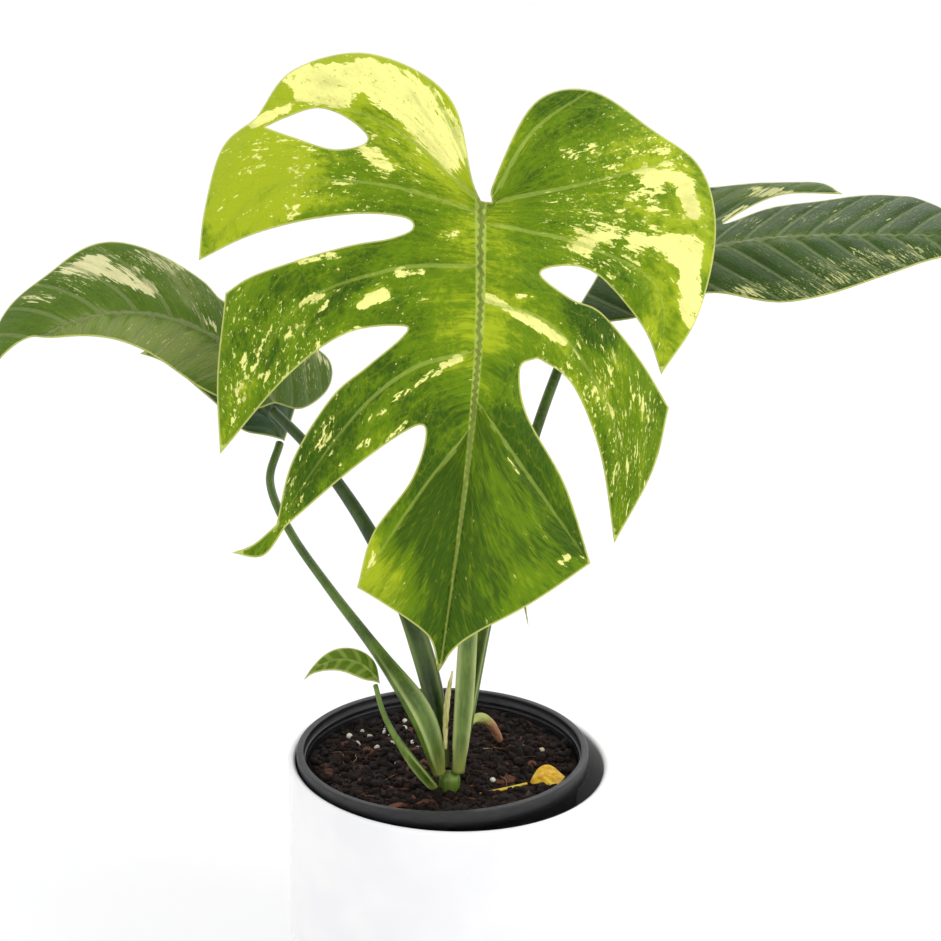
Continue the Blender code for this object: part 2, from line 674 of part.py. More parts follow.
CLUSTER = wound((-0.4, 0.4), 12, 0.085, 0.0)
LOOSE = wound((0.0, 0.0), 6, 0.34, 0.8)
GRANULES = [(*place, 1.4 + 0.1 * (seed % 4)) for seed, place in enumerate(CLUSTER)]
GRANULES += [(*place, 1.2 + 0.3 * (seed % 3)) for seed, place in enumerate(LOOSE)]
for number, (across, back, size) in enumerate(GRANULES, start=1):
    x, y = on_soil(across, back)
    grain = bpy.data.meshes.new(f"granule_{number:02d}")
    ball = bmesh.new()
    squash = 0.8
    shape = Matrix.Diagonal((1.12, 0.94, squash, 1.0))
    bmesh.ops.create_icosphere(ball, subdivisions=2, radius=size * MM, matrix=shape)
    ball.to_mesh(grain)
    ball.free()
    shade_smooth(grain)
    piece = add_piece(f"granule_{number:02d}", grain, GRANULE_WHITE)
    piece.location = Vector((x, y, soil_height(x, y) + size * squash + GAP)) * MM
    piece.rotation_euler = (0.0, 0.0, number * 1.3)

# Bark chips of the potting mix: place as above, half length and turn.
CHIP_PLACES = wound((0.0, 0.0), 4, 0.4, 1.0)
BARK_CHIPS = [(*place, 4.5 + 0.4 * seed, 0.8 * seed) for seed, place in enumerate(CHIP_PLACES)]
for number, (across, back, size, turn) in enumerate(BARK_CHIPS, start=1):
    x, y = on_soil(across, back)
    chip = bpy.data.meshes.new(f"bark_chip_{number}")
    lump = bmesh.new()
    flatness = 0.28
    shape = Matrix.Diagonal((1.0, 0.5, flatness, 1.0))
    bmesh.ops.create_icosphere(lump, subdivisions=1, radius=size * MM, matrix=shape)
    lump.to_mesh(chip)
    lump.free()
    piece = add_piece(f"bark_chip_{number}", chip, BARK_BROWN)
    piece.location = Vector((x, y, soil_height(x, y) + size * flatness + GAP)) * MM
    piece.rotation_euler = (0.0, 0.0, turn)

bpy.context.view_layer.update()
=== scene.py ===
# %% [markdown]
# # A potted monstera, leaf by leaf
# This lesson builds a young monstera in its two pots. The plain solids of the plant come first, as a
# frame that says where everything stands. Each following step replaces one of them with a finer piece:
# blades with ribs and splits, sheathed stalks, a turned pot, crumbly soil.
# Lengths in the recipes are in millimetres, because a leaf is easier to think about that way.

# %% Load the frame
import math

import bmesh
import bpy
import numpy as np
from mathutils import Matrix, Vector
from mathutils.geometry import delaunay_2d_cdt


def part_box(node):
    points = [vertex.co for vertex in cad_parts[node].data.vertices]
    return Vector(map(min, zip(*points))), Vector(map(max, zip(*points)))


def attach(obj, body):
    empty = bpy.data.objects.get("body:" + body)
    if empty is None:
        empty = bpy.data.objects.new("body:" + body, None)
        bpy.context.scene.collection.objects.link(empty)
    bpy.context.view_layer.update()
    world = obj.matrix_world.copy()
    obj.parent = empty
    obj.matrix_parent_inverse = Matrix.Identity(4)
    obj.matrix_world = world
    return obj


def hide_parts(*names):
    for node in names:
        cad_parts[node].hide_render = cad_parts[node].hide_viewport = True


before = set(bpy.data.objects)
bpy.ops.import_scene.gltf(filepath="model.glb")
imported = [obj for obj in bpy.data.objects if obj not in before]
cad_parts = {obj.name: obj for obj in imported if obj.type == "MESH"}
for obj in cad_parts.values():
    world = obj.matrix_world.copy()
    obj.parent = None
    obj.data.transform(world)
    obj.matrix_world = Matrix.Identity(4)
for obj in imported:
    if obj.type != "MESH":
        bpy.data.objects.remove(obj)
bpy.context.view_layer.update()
MM = 0.001
print("the plain model has", len(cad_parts), "solids")

# %% [markdown]
# ## Finishes
# A finish is a material made of nodes. Written one node at a time, even `1 - mask * 2` takes many lines.
# A small class can wrap a socket, so that Python's own operators add the nodes. Everything else, such
# as a noise or a ramp, goes through one method that sets a node's settings and then its sockets.

# %% Wires and finishes
class Wire:
    """One socket of a finish. Operators on it add Math nodes."""

    def __init__(self, finish, socket):
        self.finish = finish
        self.socket = socket

    def maths(self, operation, *others, first=None):
        values = [self if first is None else first, *others]
        return self.finish.add("ShaderNodeMath", {"operation": operation}, dict(enumerate(values)))

    def __add__(self, other):
        return self.maths("ADD", other)

    def __sub__(self, other):
        return self.maths("SUBTRACT", other)

    def __rsub__(self, other):
        return self.maths("SUBTRACT", self, first=other)

    def __mul__(self, other):
        return self.maths("MULTIPLY", other)

    def __abs__(self):
        return self.maths("ABSOLUTE")

    __radd__ = __add__
    __rmul__ = __mul__

    def most(self, other):
        return self.maths("MAXIMUM", other)

    def rise(self, low, high):
        """0 below low, 1 above high and a soft step between. It falls instead if low is over high."""
        return self.finish.add("ShaderNodeMapRange", {"interpolation_type": "SMOOTHSTEP"},
                               {"Value": self, "From Min": low, "From Max": high})


class Finish:
    """A material, its Principled shader and the nodes that feed it."""

    def __init__(self, name, numbers):
        self.material = bpy.data.materials.new(name)
        self.material.use_nodes = True
        self.tree = self.material.node_tree
        self.shader = self.tree.nodes["Principled BSDF"]
        for socket, number in numbers.items():
            self.shader.inputs[socket].default_value = number

    def add(self, kind, settings, sockets, output=0):
        """Any node: its settings first, then the number or the wire of each socket."""
        node = self.tree.nodes.new(kind)
        for name, value in settings.items():
            setattr(node, name, value)
        for name, value in sockets.items():
            if isinstance(value, Wire):
                self.tree.links.new(value.socket, node.inputs[name])
            else:
                node.inputs[name].default_value = value
        return Wire(self, node.outputs[output])

    def place(self):
        """Where a point lies on the object, in millimetres."""
        where = self.add("ShaderNodeTexCoord", {}, {}, "Object")
        return self.scaled(where, (1000, 1000, 1000))

    def scaled(self, vector, factors):
        return self.add("ShaderNodeVectorMath", {"operation": "MULTIPLY"}, {0: vector, 1: factors})

    def moved(self, vector, step):
        return self.add("ShaderNodeVectorMath", {"operation": "ADD"}, {0: vector, 1: step})

    def part(self, vector, axis):
        return self.add("ShaderNodeSeparateXYZ", {}, {0: vector}, axis)

    def noise(self, vector, size, detail=3.0, rough=0.55, bend=0.0):
        return self.add("ShaderNodeTexNoise", {}, {"Vector": vector, "Scale": 1.0 / size, "Detail": detail,
                                                   "Roughness": rough, "Distortion": bend})

    def cells(self, vector, size, feature="F1"):
        return self.add("ShaderNodeTexVoronoi", {"feature": feature},
                        {"Vector": vector, "Scale": 1.0 / size})

    def drawn(self, name):
        """A number stored on the mesh, drawn there when the piece was made."""
        return self.add("ShaderNodeAttribute", {"attribute_name": name}, {}, "Fac")

    def mix(self, low, high, mask):
        return self.add("ShaderNodeMix", {"data_type": "RGBA"}, {0: mask, 6: low, 7: high}, 2)

    def feed(self, socket, wire):
        self.tree.links.new(wire.socket, self.shader.inputs[socket])

    def relief(self, height, depth):
        """Fine relief, depth in millimetres for a height of 1."""
        self.feed("Normal", self.add("ShaderNodeBump", {}, {"Height": height, "Distance": depth * MM,
                                                            "Strength": 1.0}))


def paint(red, green, blue):
    """A colour on a scale of 0 to 255, as the linear light that a shader takes."""
    return (*[((c / 255 + 0.055) / 1.055) ** 2.4 if c > 10 else c / 3295 for c in (red, green, blue)], 1.0)


print("cream is", [round(c, 3) for c in paint(238, 236, 150)])

# %% [markdown]
# ## Lines, rings and lumps
# Most of a plant is tubes and sheets. A smooth line through a few points (a Catmull-Rom line) gives a
# stalk its curve; rings set across that line give it a skin. A lump is a small ball pushed about by
# chance. These helpers return plain arrays, so that hundreds can be joined into one mesh.

# %% Smooth lines
def smooth_line(points, steps):
    """Points along a smooth line through the given ones."""
    line = np.asarray(points, float)
    ends = np.vstack([2 * line[0] - line[1], line, 2 * line[-1] - line[-2]])
    made = []
    for a, b, c, d in zip(ends, ends[1:], ends[2:], ends[3:]):
        for step in range(steps):
            t = step / steps
            made.append(0.5 * (2 * b + (c - a) * t + (2 * a - 5 * b + 4 * c - d) * t * t
                               + (3 * b - a - 3 * c + d) * t ** 3))
    made.append(line[-1])
    return np.array(made)


def travelled(line):
    """The distance along a line at each of its points."""
    return np.concatenate([[0.0], np.cumsum(np.linalg.norm(np.diff(line, axis=0), axis=1))])


def spaced(line, spacing):
    """The same line with points at an even spacing."""
    at = travelled(line)
    count = max(1, round(at[-1] / spacing))
    even = np.linspace(0, at[-1], count + 1)
    return np.column_stack([np.interp(even, at, line[:, axis]) for axis in range(line.shape[1])])


# %% Tubes and lumps
def unit(vectors):
    return vectors / np.linalg.norm(vectors, axis=-1, keepdims=True)


def skin(line, radii, sides, face=(0, -1, 0), shape=None):
    """Rings round a line, closed at both ends. shape(share, angle) scales the radius at each place."""
    forward = unit(np.gradient(line, axis=0))
    out = np.zeros_like(line)
    before = np.asarray(face, float)
    for spot, ahead in enumerate(forward):
        before = unit(before - before.dot(ahead) * ahead)
        out[spot] = before
    across = np.cross(forward, out)
    angle = np.linspace(0, 2 * math.pi, sides, endpoint=False)
    share = travelled(line)[:, None] / travelled(line)[-1]
    reach = np.asarray(radii)[:, None] * np.ones((1, sides))
    if shape is not None:
        reach = reach * shape(share, np.minimum(angle, 2 * math.pi - angle)[None, :])
    rings = (line[:, None] + reach[..., None] * (np.cos(angle)[None, :, None] * out[:, None]
                                                 + np.sin(angle)[None, :, None] * across[:, None]))
    count = len(line)
    points = np.vstack([rings.reshape(-1, 3), line[0] - forward[0] * radii[0] * 0.4,
                        line[-1] + forward[-1] * radii[-1] * 0.4])
    faces = []
    for ring in range(count - 1):
        for side in range(sides):
            a = ring * sides + side
            b = ring * sides + (side + 1) % sides
            faces.append((a, b, b + sides, a + sides))
    first, last = count * sides, count * sides + 1
    faces += [((side + 1) % sides, side, first) for side in range(sides)]
    top = (count - 1) * sides
    faces += [(top + side, top + (side + 1) % sides, last) for side in range(sides)]
    return points, faces


def ball_arrays(detail):
    ball = bmesh.new()
    bmesh.ops.create_icosphere(ball, subdivisions=detail, radius=1.0)
    points = np.array([v.co for v in ball.verts])
    faces = [tuple(v.index for v in f.verts) for f in ball.faces]
    ball.free()
    return points, faces


BALLS = {detail: ball_arrays(detail) for detail in (1, 2, 3)}


def lump(chance, size, flat=0.8, rough=0.15, detail=1, lean=0.5):
    """An uneven lump about the origin: its half length, its flatness and how rough it is."""
    points, faces = BALLS[detail]
    waves = chance.normal(0, 1, (3, 3))
    swell = 1 + rough * (np.sin(points @ waves[0] * 1.7) + 0.6 * np.sin(points @ waves[1] * 3.1))
    points = points * swell[:, None] * np.array([1.0, chance.uniform(0.55, 0.95), flat]) * size
    turn = np.array(Matrix.Rotation(chance.uniform(0, 6.28), 3, "Z")
                    @ Matrix.Rotation(chance.normal(0, lean), 3, "X"))
    return points @ turn.T, faces


# %% Joining pieces and seating them
def build(name, parts, finishes, stands_for, smooth=True, marks=None):
    """One object from (points, faces) parts in millimetres. marks are numbers stored on its points."""
    points, faces, shades, start = [], [], [], 0
    for number, part in enumerate(parts):
        points.append(part[0])
        faces += [tuple(start + corner for corner in face) for face in part[1]]
        shades.append(np.full(len(part[0]), (number * 0.618034) % 1.0))
        start += len(part[0])
    mesh = bpy.data.meshes.new(name)
    mesh.from_pydata((np.vstack(points) * MM).tolist(), [], faces)
    for mark, values in {"shade": np.concatenate(shades), **(marks or {})}.items():
        layer = mesh.attributes.new(mark, "FLOAT", "POINT")
        layer.data.foreach_set("value", np.asarray(values, np.float32))
    if smooth:
        mesh.shade_smooth()
    piece = bpy.data.objects.new(name, mesh)
    for finish in finishes:
        mesh.materials.append(finish.material)
    bpy.context.scene.collection.objects.link(piece)
    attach(piece, "root")
    if stands_for:
        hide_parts(*stands_for)
        low, high = zip(*[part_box(node) for node in stands_for])
        plain = np.array([np.min(low, axis=0), np.max(high, axis=0)]) / MM
        fine = np.array([np.vstack(points).min(0), np.vstack(points).max(0)])
        print(f"{name}: {len(mesh.polygons)} faces, within {abs(fine - plain).max():.1f} mm of the plain box")
    return piece


# %% [markdown]
# ## The two pots
# Both pots are turned shapes, so each is a profile swept round an axis. The inner one is a thin grower's
# pot of black plastic. It leans a little and stands off centre, as pots dropped into a cover pot do,
# so one matrix places it and everything that it holds.

# %% Where the grower's pot stands
COVER_HEIGHT, COVER_RADIUS, COVER_WALL, COVER_FLOOR = 150.0, 82.0, 4.0, 6.0
COVER_SLOPE = math.tan(math.radians(1.7))
NURSERY_HEIGHT, NURSERY_BASE, NURSERY_RIM, NURSERY_WALL = 148.0, 54.0, 73.7, 1.6
SHOULDER, SHOULDER_RADIUS = 140.0, 70.5
LEAN = math.radians(-1.8)
lift = COVER_FLOOR + 0.4 + NURSERY_BASE * math.sin(-LEAN)
POT = np.array(Matrix.Translation((0.85, -1.0, lift)) @ Matrix.Rotation(LEAN, 4, "Y"))


def in_pot(points):
    """From the grower's pot to the plant's own frame."""
    return np.asarray(points, float) @ POT[:3, :3].T + POT[:3, 3]


def arc(middle, height, radius, start, end, steps):
    angles = np.radians(np.linspace(start, end, steps + 1))
    return [(middle + radius * math.cos(a), height + radius * math.sin(a)) for a in angles]


def turned(profile, sides):
    """A profile (r, z) from the axis round to the axis, swept into a closed skin."""
    points = [(0.0, 0.0, profile[0][1])]
    for r, z in profile[1:-1]:
        for side in range(sides):
            angle = 2 * math.pi * side / sides
            points.append((r * math.cos(angle), r * math.sin(angle), z))
    points.append((0.0, 0.0, profile[-1][1]))
    rings = len(profile) - 2
    faces = [(0, 1 + side, 1 + (side + 1) % sides) for side in range(sides)]
    for ring in range(rings - 1):
        for side in range(sides):
            a = 1 + ring * sides + side
            b = 1 + ring * sides + (side + 1) % sides
            faces.append((a, a + sides, b + sides, b))
    last = 1 + (rings - 1) * sides
    faces += [(last + side, len(points) - 1, last + (side + 1) % sides) for side in range(sides)]
    return np.array(points), faces


# %% White glaze
glaze = Finish("white_glaze", {"Roughness": 0.2, "Coat Weight": 0.35, "Coat Roughness": 0.08,
                               "Specular IOR Level": 0.5})
spot = glaze.place()
height = glaze.part(spot, "Z")
unglazed = (height + glaze.noise(spot, 6.0) * 0.8).rise(1.3, 0.9)
cloud = glaze.noise(spot, 45.0, detail=2.0)
pinholes = glaze.cells(spot, 5.0).rise(0.06, 0.02)
white = glaze.mix(paint(240, 240, 242), paint(246, 246, 246), cloud.rise(0.35, 0.65))
white = glaze.mix(white, paint(214, 210, 204), pinholes * glaze.noise(spot, 19.0).rise(0.55, 0.62))
glaze.feed("Base Color", glaze.mix(white, paint(222, 214, 200), unglazed))
glaze.feed("Roughness", glaze.noise(spot, 30.0) * 0.1 + unglazed * 0.5 + 0.16)
glaze.relief(glaze.noise(spot, 9.0, detail=1.0) * 0.5 + glaze.noise(spot, 40.0,
                                                                    detail=1.0) * 2 - pinholes * 0.2, 0.12)

# %% Turn the cover pot
foot = COVER_RADIUS - (COVER_HEIGHT - 2) * COVER_SLOPE
inside = COVER_RADIUS - COVER_WALL
inside_low = inside - (COVER_HEIGHT - 2 - COVER_FLOOR) * COVER_SLOPE
cover = [(0, COVER_FLOOR)] + [(inside_low * share, COVER_FLOOR) for share in (0.3, 0.6, 0.85)]
cover += arc(inside_low - 4, COVER_FLOOR + 4, 4, -90, 0, 8)
cover += [(inside_low + (inside - inside_low) * share, 10 + 138 * share) for share in (0.25, 0.5, 0.75,
                                                                                       0.93)]
cover += arc(COVER_RADIUS - 2, COVER_HEIGHT - 2, 2, 180, 0, 20)
cover += [(foot + (COVER_RADIUS - foot) * share, 3 + 145 * share) for share in (0.95, 0.75, 0.5, 0.25)]
cover += arc(foot - 3, 3, 3, 0, -90, 8)
cover += [(foot - 6, 0), (foot - 6.8, 0.4), (foot - 7.6, 1.1), (foot - 9, 1.4), (foot * 0.5, 1.6), (0, 1.6)]
build("cover_pot_glazed", [turned(cover, 200)], [glaze], ["cover_pot"])

# %% Black plastic
plastic = Finish("grower_plastic", {"Specular IOR Level": 0.5})
spot = plastic.place()
scuffs = plastic.noise(plastic.scaled(spot, (1, 1, 6)), 9.0, detail=5.0, rough=0.7)
dust = plastic.noise(spot, 2.2, detail=4.0, rough=0.7).rise(0.58, 0.75)
black = plastic.mix(paint(18, 18, 20), paint(40, 40, 43), scuffs.rise(0.4, 0.75))
plastic.feed("Base Color", plastic.mix(black, paint(88, 80, 72),
                                       dust * plastic.noise(spot, 14.0).rise(0.5, 0.66) * 0.5))
plastic.feed("Roughness", plastic.noise(spot, 12.0) * 0.25 + dust * 0.2 + 0.28)
plastic.relief(plastic.noise(spot, 0.8, detail=2.0), 0.03)

# %% Turn the grower's pot
def wall(z):
    """The wall's outer radius at a height below the collar."""
    return NURSERY_BASE + (SHOULDER_RADIUS - NURSERY_BASE) * z / SHOULDER


inner = wall(SHOULDER) - NURSERY_WALL
nursery = [(0, 1.6), (25, 1.6), (30, 2.0), (44, 2.0), (wall(1.6) - 3, 1.6), (wall(2.6) - NURSERY_WALL, 2.6)]
nursery += [(wall(z) - NURSERY_WALL, z) for z in (20, 50, 80, 110, 128, 134)]
nursery += arc(inner - 0.3, SHOULDER - 0.4, 0.5, -40, 60, 3) + [(inner + 0.55, SHOULDER + 0.5)]
nursery += [(inner + 0.6, SHOULDER + 2.4)] + arc(inner + 0.75, SHOULDER + 2.9, 0.35, 180, 90, 3)
nursery += [(inner + 1.1, SHOULDER + 3.4), (inner + 1.15, NURSERY_HEIGHT - 0.9)]
nursery += arc(inner + 1.85, NURSERY_HEIGHT - 0.7, 0.7, 180, 90, 4)
nursery += arc(NURSERY_RIM - 0.8, NURSERY_HEIGHT - 0.8, 0.8, 90, 0, 5)
nursery += [(NURSERY_RIM - 0.1, SHOULDER + 3), (NURSERY_RIM, SHOULDER + 0.3), (NURSERY_RIM - 0.4, SHOULDER)]
nursery += [(SHOULDER_RADIUS, SHOULDER), (SHOULDER_RADIUS - 0.4, SHOULDER - 2), (wall(90), 90),
            (wall(40), 40)]
nursery += [(wall(1), 1.0), (NURSERY_BASE - 1, 0), (40, 0), (39, 1.0), (10, 1.0), (9, 0.4), (0, 0.4)]
points, faces = turned(nursery, 192)
grower = build("nursery_pot_moulded", [(in_pot(points), faces)], [plastic], ["nursery_pot"])
pegs = bmesh.new()
for hole in range(6):
    turn = Matrix.Rotation(2 * math.pi * (hole + 0.5) / 6, 4, "Z") @ Matrix.Translation((0.034, 0, 0.0008))
    bmesh.ops.create_cone(pegs, cap_ends=True, segments=32, radius1=0.005, radius2=0.005, depth=0.008,
                          matrix=turn)
peg_mesh = bpy.data.meshes.new("drain_pegs")
pegs.to_mesh(peg_mesh)
pegs.free()
peg = bpy.data.objects.new("drain_pegs", peg_mesh)
peg.matrix_world = Matrix(POT.tolist())
peg.location = peg.location * MM
peg.hide_render = True
bpy.context.scene.collection.objects.link(peg)
drain = grower.modifiers.new("drain", "BOOLEAN")
drain.operation = "DIFFERENCE"
drain.object = peg

# %% [markdown]
# ## The soil
# Potting mix is dark, fibrous and never flat: crumbs of peat, chips of bark and fine roots lie on
# it, with pale grains among them. One sheet with crumbly relief closes the top of the pot. Loose crumbs,
# chips and fibres are real shapes on top of it, so the edge of each one catches the light.

# %% The soil's surface
SOIL_TOP = NURSERY_HEIGHT - 10
SOIL_RADIUS = wall(SOIL_TOP) - NURSERY_WALL - 0.4
chance = np.random.default_rng(11)
crumb_waves = chance.normal(0, 1, (26, 2)) / np.geomspace(9, 1.3, 26)[:, None]
crumb_phase = chance.uniform(0, 6.28, 26)
crumb_height = np.geomspace(0.55, 0.16, 26)


def soil_bump(x, y):
    return 1.3 * (0.6 * np.sin(x / 10 + 0.8) * np.cos(y / 12 + 0.4) + 0.4 * np.sin(x / 17 - y / 9))


def on_soil(x, y, lift=0.0):
    """A point on the soil at x, y from the middle of the grower's pot."""
    x, y = np.asarray(x, float), np.asarray(y, float)
    return in_pot(np.stack([x, y, SOIL_TOP + soil_bump(x, y) + lift], axis=-1))


def crumbly(x, y):
    waves = np.sin(np.outer(x, crumb_waves[:, 0]) + np.outer(y, crumb_waves[:, 1]) + crumb_phase)
    return (np.abs(waves) * crumb_height).sum(1) - 3.0


rings, around = 60, 260
angle = np.linspace(0, 2 * math.pi, around, endpoint=False)
points, faces = [on_soil([0.0], [0.0])], [(0, 1 + s, 1 + (s + 1) % around) for s in range(around)]
for ring in range(1, rings + 1):
    r = SOIL_RADIUS * ring / rings
    x, y = r * np.cos(angle), r * np.sin(angle)
    edge = min(1.0, (rings - ring) / 3)
    points.append(on_soil(x, y, crumbly(x, y) * edge * 0.55))
    if ring < rings:
        start = 1 + (ring - 1) * around
        faces += [(start + s, start + around + s, start + around + (s + 1) % around,
                   start + (s + 1) % around)
                  for s in range(around)]
base = wall(3) - NURSERY_WALL - 1.6
points.append(in_pot(np.stack([base * np.cos(angle), base * np.sin(angle), angle * 0 + 2.4], axis=-1)))
points.append(in_pot([[0, 0, 2.4]]))
start = 1 + (rings - 1) * around
faces += [(start + s, start + around + s, start + around + (s + 1) % around, start + (s + 1) % around)
          for s in range(around)]
last = 1 + (rings + 1) * around
faces += [(last - around + s, last, last - around + (s + 1) % around) for s in range(around)]
soil_skin = (np.vstack(points), faces)

# %% Peat, bark and fibre finishes
peat = Finish("peat", {"Specular IOR Level": 0.25})
spot = peat.place()
grain = peat.noise(spot, 1.6, detail=5.0, rough=0.7)
earth = peat.mix(paint(16, 10, 8), paint(52, 36, 27), grain.rise(0.42, 0.72))
earth = peat.mix(earth, paint(84, 52, 34),
                 (peat.noise(spot, 5.0, detail=3.0) * grain).rise(0.30, 0.42) * 0.7)
peat.feed("Base Color", peat.mix(earth, paint(30, 18, 14), peat.drawn("shade").rise(0.2, 0.9) * 0.6))
peat.feed("Roughness", grain * 0.25 + 0.72)
peat.relief(grain + peat.noise(spot, 0.5, detail=3.0) * 0.5, 0.6)

bark = Finish("bark", {"Specular IOR Level": 0.3})
spot = bark.place()
growth = bark.noise(bark.scaled(spot, (0.35, 1.6, 1.2)), 1.4, detail=4.0, rough=0.65)
tone = bark.mix(paint(44, 22, 15), paint(116, 66, 42), bark.drawn("shade"))
bark.feed("Base Color", bark.mix(tone, paint(24, 13, 10), growth.rise(0.48, 0.66)))
bark.feed("Roughness", growth * 0.3 + 0.6)
bark.relief(growth, 0.5)

fibre = Finish("fibre", {"Roughness": 0.7})
tone = fibre.mix(paint(66, 34, 22), paint(140, 92, 60), fibre.drawn("shade").rise(0.3, 1.0))
fibre.feed("Base Color", fibre.mix(tone, paint(186, 160, 120), fibre.drawn("shade").rise(0.93, 0.97)))
fibre.relief(fibre.noise(fibre.place(), 0.5), 0.1)

# %% Lay crumbs, chips and fibres
def soil_spots(count, reach=0.96):
    """Places spread evenly over the soil, from the middle of the pot."""
    r = SOIL_RADIUS * reach * np.sqrt(chance.uniform(0, 1, count))
    a = chance.uniform(0, 2 * math.pi, count)
    return np.column_stack([r * np.cos(a), r * np.sin(a)])


def wound(middle, count, step, first_turn):
    """Places wound outwards by the golden angle, like a sunflower's seeds, in shares of the soil's radius."""
    seed = np.arange(1, count + 1)
    turn = first_turn + seed * math.pi * (3 - math.sqrt(5))
    return np.column_stack([np.cos(turn), np.sin(turn)]) * step * np.sqrt(seed)[:, None] + middle


crumbs = []
for x, y in soil_spots(1500):
    size = chance.gamma(3.0, 0.45) + 0.4
    points, faces = lump(chance, min(size, 3.6), flat=0.7, rough=0.28)
    crumbs.append((points + on_soil(x, y, crumbly([x], [y])[0] * 0.55 + size * 0.15), faces))
build("potting_soil_crumbly", [soil_skin] + crumbs, [peat], ["potting_soil"])

chips = []
for seed, (x, y) in enumerate(wound((0.0, 0.0), 4, 0.4, 1.0) * SOIL_RADIUS):
    chips.append((x, y, 4.5 + 0.4 * seed, 0.8 * seed))
for x, y in soil_spots(110, 0.93):
    chips.append((x, y, chance.uniform(1.6, 4.2), chance.uniform(0, 6.28)))
flakes = []
for x, y, size, turn in chips:
    points, faces = lump(chance, size, flat=0.2, rough=0.2, detail=2, lean=0.3)
    flakes.append((points + on_soil(x, y, size * 0.22 + 0.5), faces))
build("bark_flakes", flakes, [bark], [f"bark_chip_{n}" for n in (1, 2, 3, 4)])

strands = []
for x, y in soil_spots(150, 0.9):
    length = chance.uniform(6, 24)
    heading = chance.uniform(0, 6.28)
    bends = chance.normal(0, 0.5, 5).cumsum() + heading
    steps = np.column_stack([np.cos(bends), np.sin(bends)]) * length / 5
    trail = np.vstack([[x, y], np.array([x, y]) + steps.cumsum(0)])
    trail *= np.minimum(1.0, 0.95 * SOIL_RADIUS / np.maximum(np.linalg.norm(trail, axis=1), 1e-6))[:, None]
    rise = 0.5 + np.abs(np.sin(np.linspace(0, math.pi, 6))) * chance.uniform(0.3, 2.6)
    line = smooth_line(on_soil(trail[:, 0], trail[:, 1], rise), 4)
    thick = chance.uniform(0.12, 0.34)
    strands.append(skin(line, np.linspace(thick, thick * 0.4, len(line)), 6))
build("soil_fibres", strands, [fibre], [])

# %% [markdown]
# Slow-release fertiliser comes as round white grains, scattered by hand, so they lie in a loose
# cluster. A few larger, rougher pieces are perlite. They are small lumps with a chalky finish.

# %% White grains
chalk = Finish("chalk", {"Specular IOR Level": 0.4})
spot = chalk.place()
stain = chalk.noise(spot, 1.1, detail=4.0)
chalky = chalk.mix(paint(226, 222, 208), paint(196, 184, 158), chalk.drawn("shade").rise(0.5, 1.0))
chalk.feed("Base Color", chalk.mix(chalky, paint(120, 98, 74), stain.rise(0.58, 0.72) * 0.6))
chalk.feed("Roughness", stain * 0.4 + 0.45)
chalk.relief(chalk.noise(spot, 0.6, detail=3.0), 0.15)

CLUSTER_AT = (-0.4, 0.4)
grain_places = [(*place, 1.4 + 0.1 * (seed % 4)) for seed,
                place in enumerate(wound(CLUSTER_AT, 12, 0.085, 0.0))]
grain_places += [(*place, 1.2 + 0.3 * (seed % 3)) for seed,
                 place in enumerate(wound((0.0, 0.0), 6, 0.34, 0.8))]
grains = []
for across, back, size in grain_places:
    points, faces = lump(chance, size * 1.1, flat=0.85, rough=0.07, detail=3, lean=0.2)
    grains.append((points + on_soil(across * SOIL_RADIUS, back * SOIL_RADIUS, size * 0.8 + 0.4), faces))
dust = np.vstack([chance.normal(np.array(CLUSTER_AT) * SOIL_RADIUS, (13, 12), (30, 2)), soil_spots(16, 0.9)])
for x, y in dust:
    size = chance.uniform(0.5, 1.3)
    points, faces = lump(chance, size, flat=0.8, rough=0.12, detail=2)
    if math.hypot(x, y) < SOIL_RADIUS * 0.94:
        grains.append((points + on_soil(x, y, size * 0.6), faces))
build("white_grains", grains, [chalk], [f"granule_{n:02d}" for n in range(1, 19)])

# %% [markdown]
# ## A blade and its rib
# A leaf blade is a sheet bent about its midrib. Its outline is drawn flat: across the rib and along it.
# The rib itself is a line in space with a sideways direction, so one recipe serves every leaf.
# Each blade is two skins, so that the upper face can have furrows where the under face has ridges.

# %% The rib
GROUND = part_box("stem")[1].z / MM - 9.0  # the stem's stump stands 9 mm out of the soil


def above_soil(points):
    return np.asarray(points, float) + (0.0, 0.0, GROUND)


def bezier(start, leave, arrive, end, count):
    """Points along a Bezier curve with two handles."""
    a, b, c, d = (np.asarray(point, float) for point in (start, leave, arrive, end))
    t = np.linspace(0, 1, count)[:, None]
    return a * (1 - t) ** 3 + b * 3 * t * (1 - t) ** 2 + c * 3 * t ** 2 * (1 - t) + d * t ** 3


def arched(start, length, heading, first_slope, last_slope, steps=8):
    """A midrib whose slope changes evenly, with angles in degrees."""
    turn = math.radians(heading)
    slope = np.radians(first_slope + (last_slope - first_slope) * (np.arange(steps) + 0.5) / steps)
    way = np.column_stack([math.cos(turn) * np.cos(slope), math.sin(turn) * np.cos(slope), np.sin(slope)])
    return above_soil(np.vstack([[0, 0, 0], (way * length / steps).cumsum(0)]) + start)


def oval(length, left, right, widest):
    """Outline of an undivided blade, whose edges swell evenly to their widest share of the length."""
    share = np.linspace(0, 1, 7)
    swell = np.sin(math.pi * share ** (math.log(0.5) / math.log(widest)))
    return [[(-left * w, length * t) for t, w in zip(share, swell)],
            [(right * w, length * t) for t, w in zip(share[::-1], swell[::-1])]]


